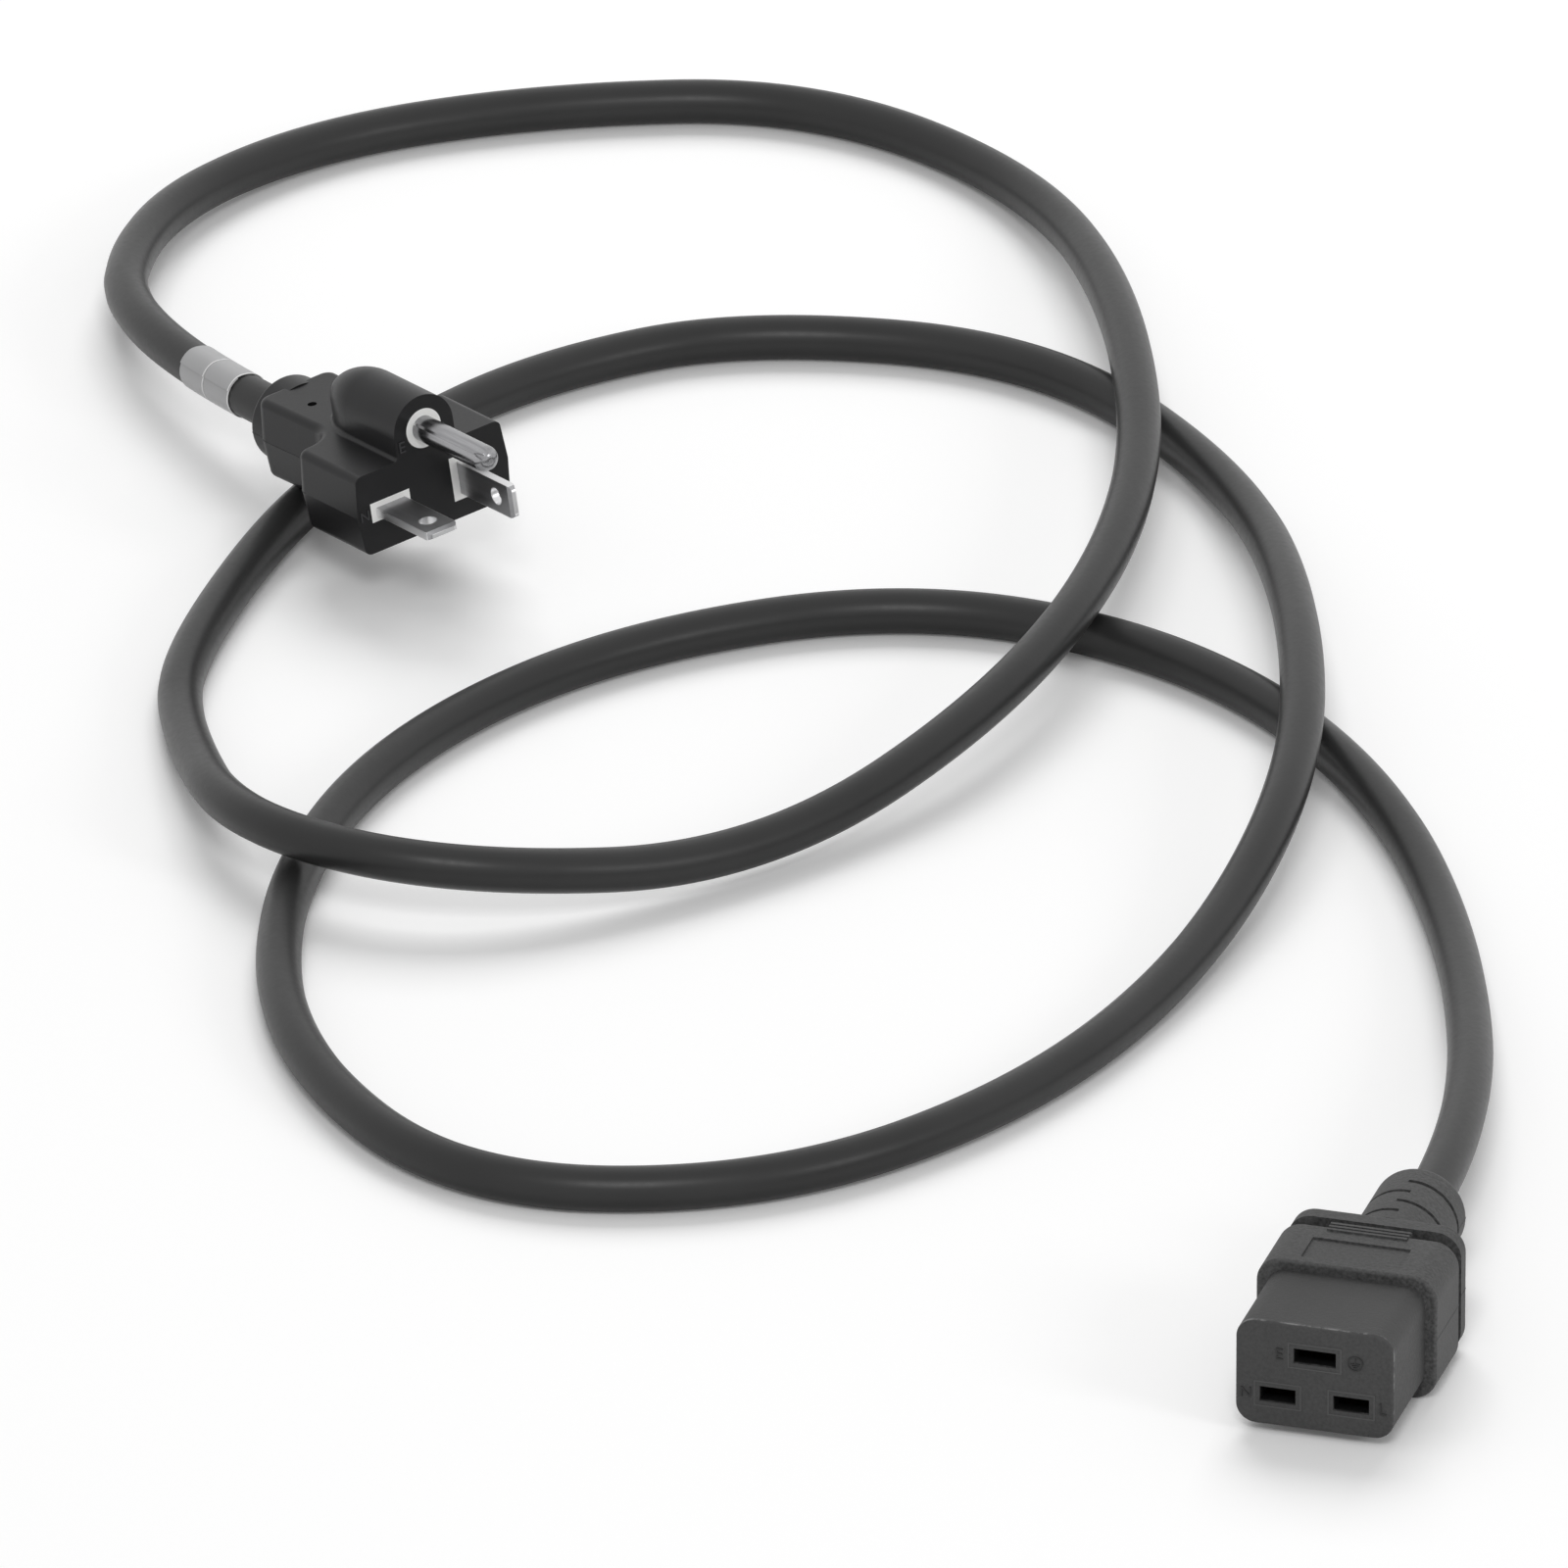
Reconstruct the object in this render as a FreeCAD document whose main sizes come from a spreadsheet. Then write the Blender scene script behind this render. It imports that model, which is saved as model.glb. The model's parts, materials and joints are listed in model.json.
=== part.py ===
"""Moulded power cord: a 20 A straight-blade plug, a round cord and a 16 A appliance connector.

The part frame is in millimetres with +Z up. The connector lies flat on the floor at the origin,
its mating face towards -Y and its cord leaving towards +Y. The cord runs behind it in a loose
spiral and ends at the plug, which rests on the cord.

Plug and connector are each modelled in a face frame: x to the right and y up for someone who
looks at the face, z out of the face, so that everything behind the face has a negative z.
"""
import FreeCAD, Part
import math
import os
import re
import Sketcher

# Name, value in millimetres or degrees, and what the size is
SIZES = [
    # Cord
    ("cord_diameter", 8.0, "round jacket over three cores"),
    ("core_diameter", 3.0, "insulated core"),
    ("core_circle", 1.76, "distance of each core from the middle of the cord"),
    ("strand_diameter", 1.6, "bare copper of one core"),
    ("strand_length", 5.0, "bare copper inside a crimp"),
    ("floor_gap", 0.1, "air under the cord where it lies on the floor"),
    ("cross_gap", 0.9, "air between two layers of the cord"),
    ("last_run", 56.0, "straight stretch of cord up to the plug"),
    ("last_lift", 2.4, "rise of the cord before its last stretch"),
    # Wrap labels on the cord
    ("label_start", 13.4, "bare cord between plug collar and first label"),
    ("label_length", 8.5, "length of one label along the cord"),
    ("label_gap", 0.2, "between the two labels"),
    ("label_thickness", 0.25, "film of the label"),
    ("label_clearance", 0.05, "air between jacket and label"),
    # Plug, where it lies
    ("plug_face_x", -241.0, "middle of the plug's face, across"),
    ("plug_face_y", 243.0, "middle of the plug's face, behind"),
    ("plug_face_z", 19.8, "middle of the plug's face, above the floor"),
    ("plug_turn", 51.0, "turn of the plug about the vertical"),
    ("plug_tilt", 5.0, "how far the blades point up"),
    ("plug_roll", 6.0, "how far the plug leans to its left"),
    # Plug body
    ("block_width", 32.6, "widest, at the parting plane"),
    ("block_top", 7.7, "top plane above the blades' line"),
    ("block_bottom", 7.6, "bottom plane below the blades' line"),
    ("block_depth", 19.5, "front block, face to shoulder"),
    ("block_draft", 5.2, "draft of the block's sides, in degrees, from the parting plane"),
    ("shoulder_radius", 2.6, "rear corners of the block, seen from above"),
    ("flare_radius", 5.2, "hollow between block and grip"),
    ("grip_front_width", 16.4, "grip at the hollow"),
    ("grip_rear_width", 17.6, "grip beside the collar"),
    ("grip_end", 43.8, "face to the rear of the grip"),
    ("grip_corner", 3.0, "rear corners of the grip, seen from above"),
    ("top_edge", 1.4, "rounding of the top edges"),
    ("bottom_edge", 1.5, "rounding of the bottom edges"),
    ("collar_diameter", 16.0, "round collar at the cord"),
    ("collar_length", 2.7, "collar beyond the grip"),
    ("collar_edge", 0.8, "rounding of the collar's rear edge"),
    ("vent_diameter", 1.7, "two small holes in the top of the grip"),
    ("vent_spread", 5.4, "between the two holes"),
    ("vent_station", 32.7, "face to the two holes"),
    ("vent_depth", 2.5, "depth of the two holes"),
    # Plug boss over the earth pin
    ("boss_radius", 6.3, "boss about the earth pin"),
    ("boss_straight", 16.0, "face to where the boss starts to close"),
    ("boss_end", 26.5, "face to the tip of the boss"),
    ("boss_nose", 4.2, "radius at the tip of the boss"),
    ("boss_root", 1.0, "how far the boss starts inside the block"),
    ("boss_foot", 0.8, "hollow where the boss meets the block"),
    # Plug pins
    ("earth_height", 11.9, "earth pin above the blades' line"),
    ("earth_diameter", 4.75, "rolled earth pin"),
    ("earth_length", 21.4, "earth pin beyond the face"),
    ("earth_shank", 3.8, "earth pin inside the bridge"),
    ("earth_tip", 1.9, "rounding of the earth pin's tip"),
    ("seam_width", 0.5, "open seam along the rolled pin"),
    ("seam_depth", 0.6, "depth of the seam"),
    ("seam_turn", 50.0, "seam from the top of the pin, towards the neutral blade"),
    ("fold_length", 3.2, "tip of the pin where the seam opens"),
    ("fold_width", 1.3, "widest opening of the seam"),
    ("fold_depth", 0.8, "depth of the seam's opening"),
    ("blade_width", 6.35, "both blades"),
    ("blade_thickness", 1.5, "both blades"),
    ("blade_length", 17.0, "blades beyond the face"),
    ("blade_tip", 1.3, "rounding of the blades' tip corners"),
    ("blade_bevel", 1.1, "bevel at the blades' tips, along the blade"),
    ("bevel_depth", 0.4, "bevel's cut into each wide face"),
    ("blade_hole", 3.2, "hole near the blades' tips"),
    ("blade_hole_station", 11.9, "face to the hole"),
    ("line_offset", 6.35, "upright blade, to the right of the earth pin"),
    ("neutral_offset", 9.1, "flat blade, to the left of the earth pin"),
    # White bridge that carries the pins
    ("bridge_front", 6.0, "face to the bridge's plate"),
    ("bridge_plate", 3.0, "thickness of the plate"),
    ("bridge_margin", 0.6, "plate beyond the blades' sleeves"),
    ("bridge_web", 6.0, "web up to the earth pin"),
    ("bridge_ring", 7.4, "sleeve round the earth pin"),
    ("sleeve_long", 1.05, "wall of the blades' sleeves past their tips"),
    ("sleeve_wide", 3.0, "wall of the upright blade's sleeve, both sides together"),
    ("sleeve_flat", 2.2, "wall of the flat blade's sleeve, both sides together"),
    # Crimps of plug and connector
    ("crimp_diameter", 3.0, "outside of a crimp barrel"),
    ("crimp_length", 6.0, "crimp barrel"),
    ("plug_jacket_end", 37.0, "plug face to where the jacket ends inside"),
    ("plug_core_rise", 29.5, "plug face to where the cores start to part"),
    ("plug_core_level", 19.5, "plug face to where the cores reach their pins"),
    # Connector insert
    ("insert_width", 27.9, "front block of the connector"),
    ("insert_height", 19.6, "front block of the connector"),
    ("insert_corner", 3.5, "corners of the front block"),
    ("insert_edge", 0.5, "rounding round the mating face"),
    ("insert_length", 26.0, "mating face to the insert's hidden rear"),
    ("slot_height", 2.8, "all three slots"),
    ("earth_slot_width", 7.5, "upper slot"),
    ("power_slot_width", 6.35, "two lower slots"),
    ("slot_rise", 4.0, "slots above and below the axis"),
    ("slot_spread", 6.5, "lower slots beside the axis"),
    ("mouth_depth", 3.0, "slot in front of the contact chamber"),
    ("chamber_height", 4.4, "chamber of a contact"),
    ("chamber_end", 18.0, "mating face to the rear of the chambers"),
    # Connector contacts
    ("contact_play", 0.2, "air round a contact in its chamber"),
    ("contact_sheet", 0.5, "bent bronze sheet"),
    ("contact_mouth", 1.2, "gap between the springs where they pinch"),
    ("contact_pinch", 3.0, "contact's front to where the springs pinch"),
    # Connector overmould
    ("connector_length", 67.5, "mating face to the rear of the strain relief"),
    ("shell_front", 19.8, "mating face to the overmould"),
    ("shell_end", 34.3, "mating face to the neck"),
    ("shell_width", 32.0, "overmould"),
    ("shell_height", 23.2, "overmould"),
    ("shell_corner", 4.5, "corners of the overmould"),
    ("shell_edge", 0.6, "rounding of its front and rear edges"),
    ("neck_length", 3.2, "narrow neck behind the overmould"),
    ("neck_depth", 2.0, "how far the neck is set in"),
    ("plate_end", 41.0, "mating face to the rear of the plate"),
    ("plate_width", 30.8, "plate behind the neck"),
    ("plate_height", 23.0, "plate behind the neck"),
    ("plate_edge", 0.8, "rounding of the plate's rear edge"),
    ("relief_diameter", 16.4, "strain relief"),
    ("relief_edge", 1.6, "rounding of its rear edge"),
    ("relief_core", 10.4, "what the slots leave"),
    ("relief_slot", 0.9, "width of a slot"),
    ("relief_pitch", 7.5, "between two slots of one side"),
    ("relief_first", 46.0, "mating face to the first slot of the right side"),
    ("relief_span", 190.0, "how far a slot runs round the relief"),
    ("panel_front", 22.0, "mating face to the sunk panel on top"),
    ("panel_length", 7.7, "sunk panel"),
    ("panel_width", 17.4, "sunk panel"),
    ("panel_depth", 0.4, "sunk panel"),
    ("rib_front", 32.6, "mating face to the first grip rib"),
    ("rib_width", 14.2, "grip ribs, across"),
    ("rib_pitch", 1.1, "between two grip ribs"),
    ("rib_length", 0.6, "one grip rib, along the connector"),
    ("rib_rise", 0.35, "grip ribs above the overmould"),
    ("connector_jacket_end", 44.0, "mating face to where the jacket ends inside"),
    ("connector_core_rise", 39.0, "mating face to where the cores start to part"),
    ("connector_core_level", 29.0, "mating face to where the cores reach their contacts"),
]
RIB_COUNT = 3
RELIEF_SLOTS = 3
# Share of the shorter run that each arc of a cord takes up at its corner
ARC_SHARE = 0.45

doc = FreeCAD.newDocument("PowerCord")
sheet = doc.addObject("Spreadsheet::Sheet", "Sizes")
for row, (alias, number, note) in enumerate(SIZES, 1):
    sheet.set("A%d" % row, alias)
    sheet.set("B%d" % row, str(number))
    sheet.set("C%d" % row, note)
    sheet.setAlias("B%d" % row, alias)
doc.recompute()
ALIASES = {alias for alias, number, note in SIZES}
PIECES = []


def cells(text):
    """The expression with the sheet's name put before each alias."""
    return re.sub(r"[a-z_]+", lambda word: "Sizes." * (word.group() in ALIASES) + word.group(), text)


def value(text):
    """What the expression comes to now."""
    return float(sheet.evalExpression(cells(text)))


def new_body(name):
    return doc.addObject("PartDesign::Body", name)


def new_sketch(body, name, plane, offset="0"):
    """A sketch on one of the body's own planes, moved along the plane's normal."""
    sketch = body.newObject("Sketcher::SketchObject", name)
    support = [item for item in body.Origin.OriginFeatures if item.Role == plane][0]
    sketch.AttachmentSupport = [(support, "")]
    sketch.MapMode = "FlatFace"
    sketch.setExpression("AttachmentOffset.Base.z", cells(offset))
    return sketch


def tie(sketch, text, *what):
    """A constraint whose size follows the expression."""
    index = sketch.addConstraint(Sketcher.Constraint(*what, value(text)))
    sketch.setExpression("Constraints[%d]" % index, cells(text))


def locate(sketch, geometry, end, x, y):
    """Ties one end of a sketch's geometry to its place, given as two expressions."""
    for kind, axis, text in (("DistanceX", -2, x), ("DistanceY", -1, y)):
        if text == "0":
            sketch.addConstraint(Sketcher.Constraint("PointOnObject", geometry, end, axis))
        else:
            tie(sketch, text, kind, -1, 1, geometry, end)


def add_circle(sketch, x, y, diameter):
    centre = FreeCAD.Vector(value(x), value(y), 0)
    circle = Part.Circle(centre, FreeCAD.Vector(0, 0, 1), value(diameter) / 2)
    index = sketch.addGeometry(circle, False)
    locate(sketch, index, 3, x, y)
    tie(sketch, diameter, "Diameter", index)


def add_outline(sketch, corners):
    """A closed outline through corners (x, y) or (x, y, radius), all of them expressions."""
    count = len(corners)
    points = [FreeCAD.Vector(value(corner[0]), value(corner[1]), 0) for corner in corners]
    reach = []
    for index, corner in enumerate(corners):
        to_last = (points[index - 1] - points[index]).normalize()
        to_next = (points[(index + 1) % count] - points[index]).normalize()
        half = to_last.getAngle(to_next) / 2
        radius = value(corner[2]) if len(corner) > 2 else 0.0
        touch = radius / math.tan(half)
        reach.append((points[index] + to_last * touch, points[index] + to_next * touch,
                      points[index] + (to_last + to_next).normalize() * (radius / math.sin(half)),
                      radius))
    lines = [sketch.addGeometry(Part.LineSegment(reach[index][1], reach[(index + 1) % count][0]),
                                False) for index in range(count)]
    for index, corner in enumerate(corners):
        before, after = lines[index - 1], lines[index]
        arrive, leave, centre, radius = reach[index]
        if not radius:
            sketch.addConstraint(Sketcher.Constraint("Coincident", before, 2, after, 1))
            locate(sketch, after, 1, corner[0], corner[1])
            continue
        start, stop = arrive - centre, leave - centre
        ends = (1, 2)
        if start.cross(stop).z < 0:
            start, stop = stop, start
            ends = (2, 1)
        circle = Part.Circle(centre, FreeCAD.Vector(0, 0, 1), radius)
        arc = sketch.addGeometry(Part.ArcOfCircle(
            circle, math.atan2(start.y, start.x), math.atan2(stop.y, stop.x)), False)
        apex = sketch.addGeometry(Part.Point(points[index]), True)
        sketch.addConstraint(Sketcher.Constraint("Tangent", before, 2, arc, ends[0]))
        sketch.addConstraint(Sketcher.Constraint("Tangent", arc, ends[1], after, 1))
        sketch.addConstraint(Sketcher.Constraint("PointOnObject", apex, 1, before))
        sketch.addConstraint(Sketcher.Constraint("PointOnObject", apex, 1, after))
        tie(sketch, corner[2], "Radius", arc)
        locate(sketch, apex, 1, corner[0], corner[1])


def rectangle(left, bottom, right, top, radius=None):
    """The four corners of a rectangle, for add_outline."""
    corners = [(left, bottom), (right, bottom), (right, top), (left, top)]
    if radius:
        corners = [corner + (radius,) for corner in corners]
    return corners


def centred(width, height, radius=None):
    """The four corners of a rectangle about the axis."""
    return rectangle("-%s / 2" % width, "-%s / 2" % height, "%s / 2" % width, "%s / 2" % height,
                     radius)


def add_pad(body, name, sketch, length, reverse=False):
    pad = body.newObject("PartDesign::Pad", name)
    pad.Profile = sketch
    pad.Reversed = reverse
    pad.setExpression("Length", cells(length))
    return pad


def cut_in(body, kind, name, sketch, set_up):
    """A feature that takes material away, with its volume compared before and after."""
    doc.recompute()
    before = body.Shape.Volume
    feature = body.newObject(kind, name)
    feature.Profile = sketch
    set_up(feature)
    doc.recompute()
    if not body.Shape.Volume < before - 0.001:
        raise ValueError(name + " cuts nothing")
    return feature


def add_pocket(body, name, sketch, length, reverse=False):
    def set_up(pocket):
        pocket.Reversed = reverse
        pocket.setExpression("Length", cells(length))
    return cut_in(body, "PartDesign::Pocket", name, sketch, set_up)


def add_fillet(body, name, radius, wanted):
    """Rounds those edges of the body's last feature for which wanted(edge) is true."""
    doc.recompute()
    base = body.Tip
    edges = ["Edge%d" % (index + 1) for index, edge in enumerate(base.Shape.Edges) if wanted(edge)]
    if not edges:
        raise ValueError(name + " finds no edge")
    fillet = body.newObject("PartDesign::Fillet", name)
    fillet.Base = (base, edges)
    fillet.setExpression("Radius", cells(radius))
    return fillet


def lies_at(edge, axis, place):
    """True for an edge that lies whole in the plane where the axis has this value."""
    box = edge.BoundBox
    low, high = getattr(box, axis + "Min"), getattr(box, axis + "Max")
    return abs(low - place) < 0.01 and abs(high - place) < 0.01


def put_in_plug(item):
    """Moves an object from the face frame to where the plug lies."""
    item.setExpression("Placement", cells(
        "create(<<placement>>; create(<<vector>>; plug_face_x; plug_face_y; plug_face_z);"
        " create(<<rotation>>; plug_turn; 0; 90 - plug_tilt)) * create(<<placement>>;"
        " create(<<vector>>; 0; 0; 0); create(<<rotation>>; plug_roll; 0; 0))"))


def put_in_connector(item):
    """Moves an object from the face frame to where the connector lies."""
    item.setExpression("Placement", cells(
        "create(<<placement>>; create(<<vector>>; 0; -connector_length / 2; shell_height / 2);"
        " create(<<rotation>>; 0; 0; 90))"))


def without(base, tools):
    """The base with the room of each tool cut out of it."""
    for tool in tools:
        cut = doc.addObject("Part::Cut", base.Name + "_less")
        cut.Base = base
        cut.Tool = tool
        cut.Refine = True
        base = cut
    return base


def keep(item, label):
    """Names an object as one piece of the product."""
    item.Label = label
    PIECES.append(item)
    return item


def bend_radii(points):
    """Radius of the arc at each inner point of a route."""
    radii = []
    for before, here, after in zip(points, points[1:], points[2:]):
        run_in, run_out = here - before, after - here
        reach = ARC_SHARE * min(run_in.Length, run_out.Length)
        radii.append(reach / math.tan(run_in.getAngle(run_out) / 2))
    return radii


def route_wire(points):
    """Straight runs joined by tangent arcs, each as large as its two runs allow."""
    edges = []
    start = points[0]
    for before, here, after, radius in zip(points, points[1:], points[2:], bend_radii(points)):
        run_in, run_out = here - before, after - here
        reach = ARC_SHARE * min(run_in.Length, run_out.Length)
        arrive = here - run_in.normalize() * reach
        leave = here + run_out.normalize() * reach
        inward = (run_out - run_in).normalize()
        inset = math.hypot(radius, reach) - radius
        edges.append(Part.LineSegment(start, arrive).toShape())
        edges.append(Part.Arc(arrive, here + inward * inset, leave).toShape())
        start = leave
    edges.append(Part.LineSegment(start, points[-1]).toShape())
    return Part.Wire(edges)


def new_tube(name, points, diameter):
    """A round solid along a route."""
    wire = route_wire(points)
    circle = Part.Wire(Part.makeCircle(diameter / 2, points[0], points[1] - points[0]))
    solid = wire.makePipeShell([circle], True, False)
    expected = math.pi * diameter ** 2 / 4 * wire.Length
    if abs(solid.Volume / expected - 1) > 0.005:
        raise ValueError("%s has volume %.1f, not %.1f" % (name, solid.Volume, expected))
    tube = doc.addObject("Part::Feature", name)
    tube.Shape = solid
    return tube, wire.Length


# Angle of each core about the cord's axis, seen from the face: earth on top, line on the right
CORE_ANGLE = {"earth": 90.0, "line": -30.0, "neutral": 210.0}


def new_core(name, kind, pin, stations):
    """One insulated core, from the end of the jacket to the crimp behind its pin."""
    jacket_end, rise, level, crimp_end = stations
    angle = math.radians(CORE_ANGLE[kind])
    inner_x = value("core_circle") * math.cos(angle)
    inner_y = value("core_circle") * math.sin(angle)
    route = [FreeCAD.Vector(inner_x, inner_y, -jacket_end), FreeCAD.Vector(inner_x, inner_y, -rise),
             FreeCAD.Vector(pin[0], pin[1], -level), FreeCAD.Vector(pin[0], pin[1], -crimp_end)]
    core, length = new_tube(name, route, value("core_diameter"))
    return core


def new_strand(name, x, y, crimp_end):
    """The bare copper of one core, inside its crimp."""
    body = new_body(name)
    sketch = new_sketch(body, name + "_round", "XY_Plane", "-(%s)" % crimp_end)
    add_circle(sketch, x, y, "strand_diameter")
    add_pad(body, name + "_pad", sketch, "strand_length")
    return body


def add_crimp(body, name, x, y, start):
    """A crimp barrel behind a pin or a contact, open at its rear for the copper."""
    sketch = new_sketch(body, name + "_round", "XY_Plane", "-(%s)" % start)
    add_circle(sketch, x, y, "crimp_diameter")
    add_pad(body, name + "_barrel", sketch, "crimp_length", True)
    bore = new_sketch(body, name + "_bore_round", "XY_Plane", "-(%s + crimp_length)" % start)
    add_circle(bore, x, y, "strand_diameter")
    add_pocket(body, name + "_bore", bore, "strand_length", True)


# Plug pins

TAIL_START = "(bridge_front + bridge_plate)"
PLUG_CRIMP_END = "(bridge_front + bridge_plate + crimp_length)"


def blade_outline(across):
    """A blade seen on its wide face: rounded tip, straight sides, cut off at its tail."""
    left = "%s - blade_width / 2" % across
    right = "%s + blade_width / 2" % across
    return [(left, "-" + TAIL_START), (right, "-" + TAIL_START),
            (right, "blade_length", "blade_tip"), (left, "blade_length", "blade_tip")]


def new_blade(name, plane, across, out, x, y):
    """A flat blade with its hole and its crimp. The plane is the one that its wide face lies in."""
    body = new_body(name)
    outline = new_sketch(body, name + "_outline", plane, "%s - blade_thickness / 2" % out)
    add_outline(outline, blade_outline(across))
    add_pad(body, name + "_blade", outline, "blade_thickness")
    hole = new_sketch(body, name + "_hole_round", plane, "%s + blade_thickness" % out)
    add_circle(hole, across, "blade_hole_station", "blade_hole")
    add_pocket(body, name + "_hole", hole, "2 * blade_thickness")
    side = {"YZ_Plane": "XZ_Plane", "XZ_Plane": "YZ_Plane"}[plane]
    for label, sign in (("over", "+"), ("under", "-")):
        face = "%s %s blade_thickness / 2" % (out, sign)
        bevel = new_sketch(body, "%s_bevel_%s_outline" % (name, label), side)
        add_outline(bevel, [(face, "blade_length - blade_bevel"), (face, "blade_length"),
                            ("%s %s (blade_thickness / 2 - bevel_depth)" % (out, sign),
                             "blade_length")])

        def set_up(pocket):
            pocket.Midplane = True
            pocket.setExpression("Length", cells("4 * neutral_offset"))

        cut_in(body, "PartDesign::Pocket", "%s_bevel_%s" % (name, label), bevel, set_up)
    add_crimp(body, name + "_crimp", x, y, TAIL_START)
    return body


def new_earth_pin(name):
    """The rolled earth pin: round tip, open seam along it and a crimp behind."""
    body = new_body(name)
    sketch = new_sketch(body, name + "_outside", "XY_Plane")
    add_circle(sketch, "0", "earth_height", "earth_diameter")
    add_pad(body, name + "_roll", sketch, "earth_length")
    add_fillet(body, name + "_tip", "earth_tip",
               lambda edge: lies_at(edge, "Z", value("earth_length")))
    seam = new_sketch(body, name + "_seam_outline", "XY_Plane")
    seam.setExpression("AttachmentOffset", cells(
        "create(<<placement>>; create(<<vector>>; 0; earth_height; 0);"
        " create(<<rotation>>; seam_turn; 0; 0))"))
    add_outline(seam, rectangle("-seam_width / 2", "earth_diameter / 2 - seam_depth",
                                "seam_width / 2", "earth_diameter"))
    add_pocket(body, name + "_seam", seam, "2 * earth_length", True)
    # The sheet is folded in at the tip, so the seam opens there
    fold = new_sketch(body, name + "_fold_outline", "XY_Plane")
    fold.setExpression("AttachmentOffset", cells(
        "create(<<placement>>; create(<<vector>>;"
        " -(earth_diameter / 2 - fold_depth) * sin(seam_turn);"
        " earth_height + (earth_diameter / 2 - fold_depth) * cos(seam_turn); 0);"
        " create(<<rotation>>; seam_turn; 0; 90))"))
    add_outline(fold, [("0", "earth_length - fold_length"), ("fold_width / 2", "earth_length"),
                       ("-fold_width / 2", "earth_length")])
    add_pocket(body, name + "_fold", fold, "earth_diameter")
    shank = new_sketch(body, name + "_inside", "XY_Plane")
    add_circle(shank, "0", "earth_height", "earth_shank")
    add_pad(body, name + "_shank", shank, TAIL_START, True)
    add_crimp(body, name + "_crimp", "0", "earth_height", TAIL_START)
    return body


line_blade = new_blade("LineBlade", "YZ_Plane", "0", "line_offset", "line_offset", "0")
neutral_blade = new_blade("NeutralBlade", "XZ_Plane", "-neutral_offset", "0",
                          "-neutral_offset", "0")
earth_pin = new_earth_pin("EarthPin")


# White bridge: one plate with a sleeve to the face for each pin

def new_bridge():
    body = new_body("Bridge")
    line_left = "line_offset - (blade_thickness + sleeve_wide) / 2"
    line_right = "line_offset + (blade_thickness + sleeve_wide) / 2"
    line_top = "blade_width / 2 + sleeve_long"
    flat_left = "-neutral_offset - blade_width / 2 - sleeve_long"
    flat_right = "-neutral_offset + blade_width / 2 + sleeve_long"
    flat_top = "(blade_thickness + sleeve_flat) / 2"
    web = "bridge_web / 2"
    plate = new_sketch(body, "BridgePlateOutline", "XY_Plane", "-bridge_front")
    left, right = flat_left + " - bridge_margin", line_right + " + bridge_margin"
    top, bottom = line_top + " + bridge_margin", "-(" + line_top + " + bridge_margin)"
    add_outline(plate, [(left, bottom), (right, bottom), (right, top), (web, top),
                        (web, "earth_height"), ("-" + web, "earth_height"), ("-" + web, top),
                        (left, top)])
    add_pad(body, "BridgePlate", plate, "bridge_plate", True)
    ring = new_sketch(body, "BridgeRing", "XY_Plane")
    add_circle(ring, "0", "earth_height", "bridge_ring")
    add_pad(body, "EarthSleeve", ring, TAIL_START, True)
    upright = new_sketch(body, "LineSleeveOutline", "XY_Plane")
    add_outline(upright, rectangle(line_left, "-(%s)" % line_top, line_right, line_top))
    add_pad(body, "LineSleeve", upright, "bridge_front", True)
    flat = new_sketch(body, "NeutralSleeveOutline", "XY_Plane")
    add_outline(flat, rectangle(flat_left, "-" + flat_top, flat_right, flat_top))
    add_pad(body, "NeutralSleeve", flat, "bridge_front", True)
    return body


bridge = new_bridge()


# Plug body: block, hollow, grip and collar from one plan outline, with the boss on top

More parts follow.
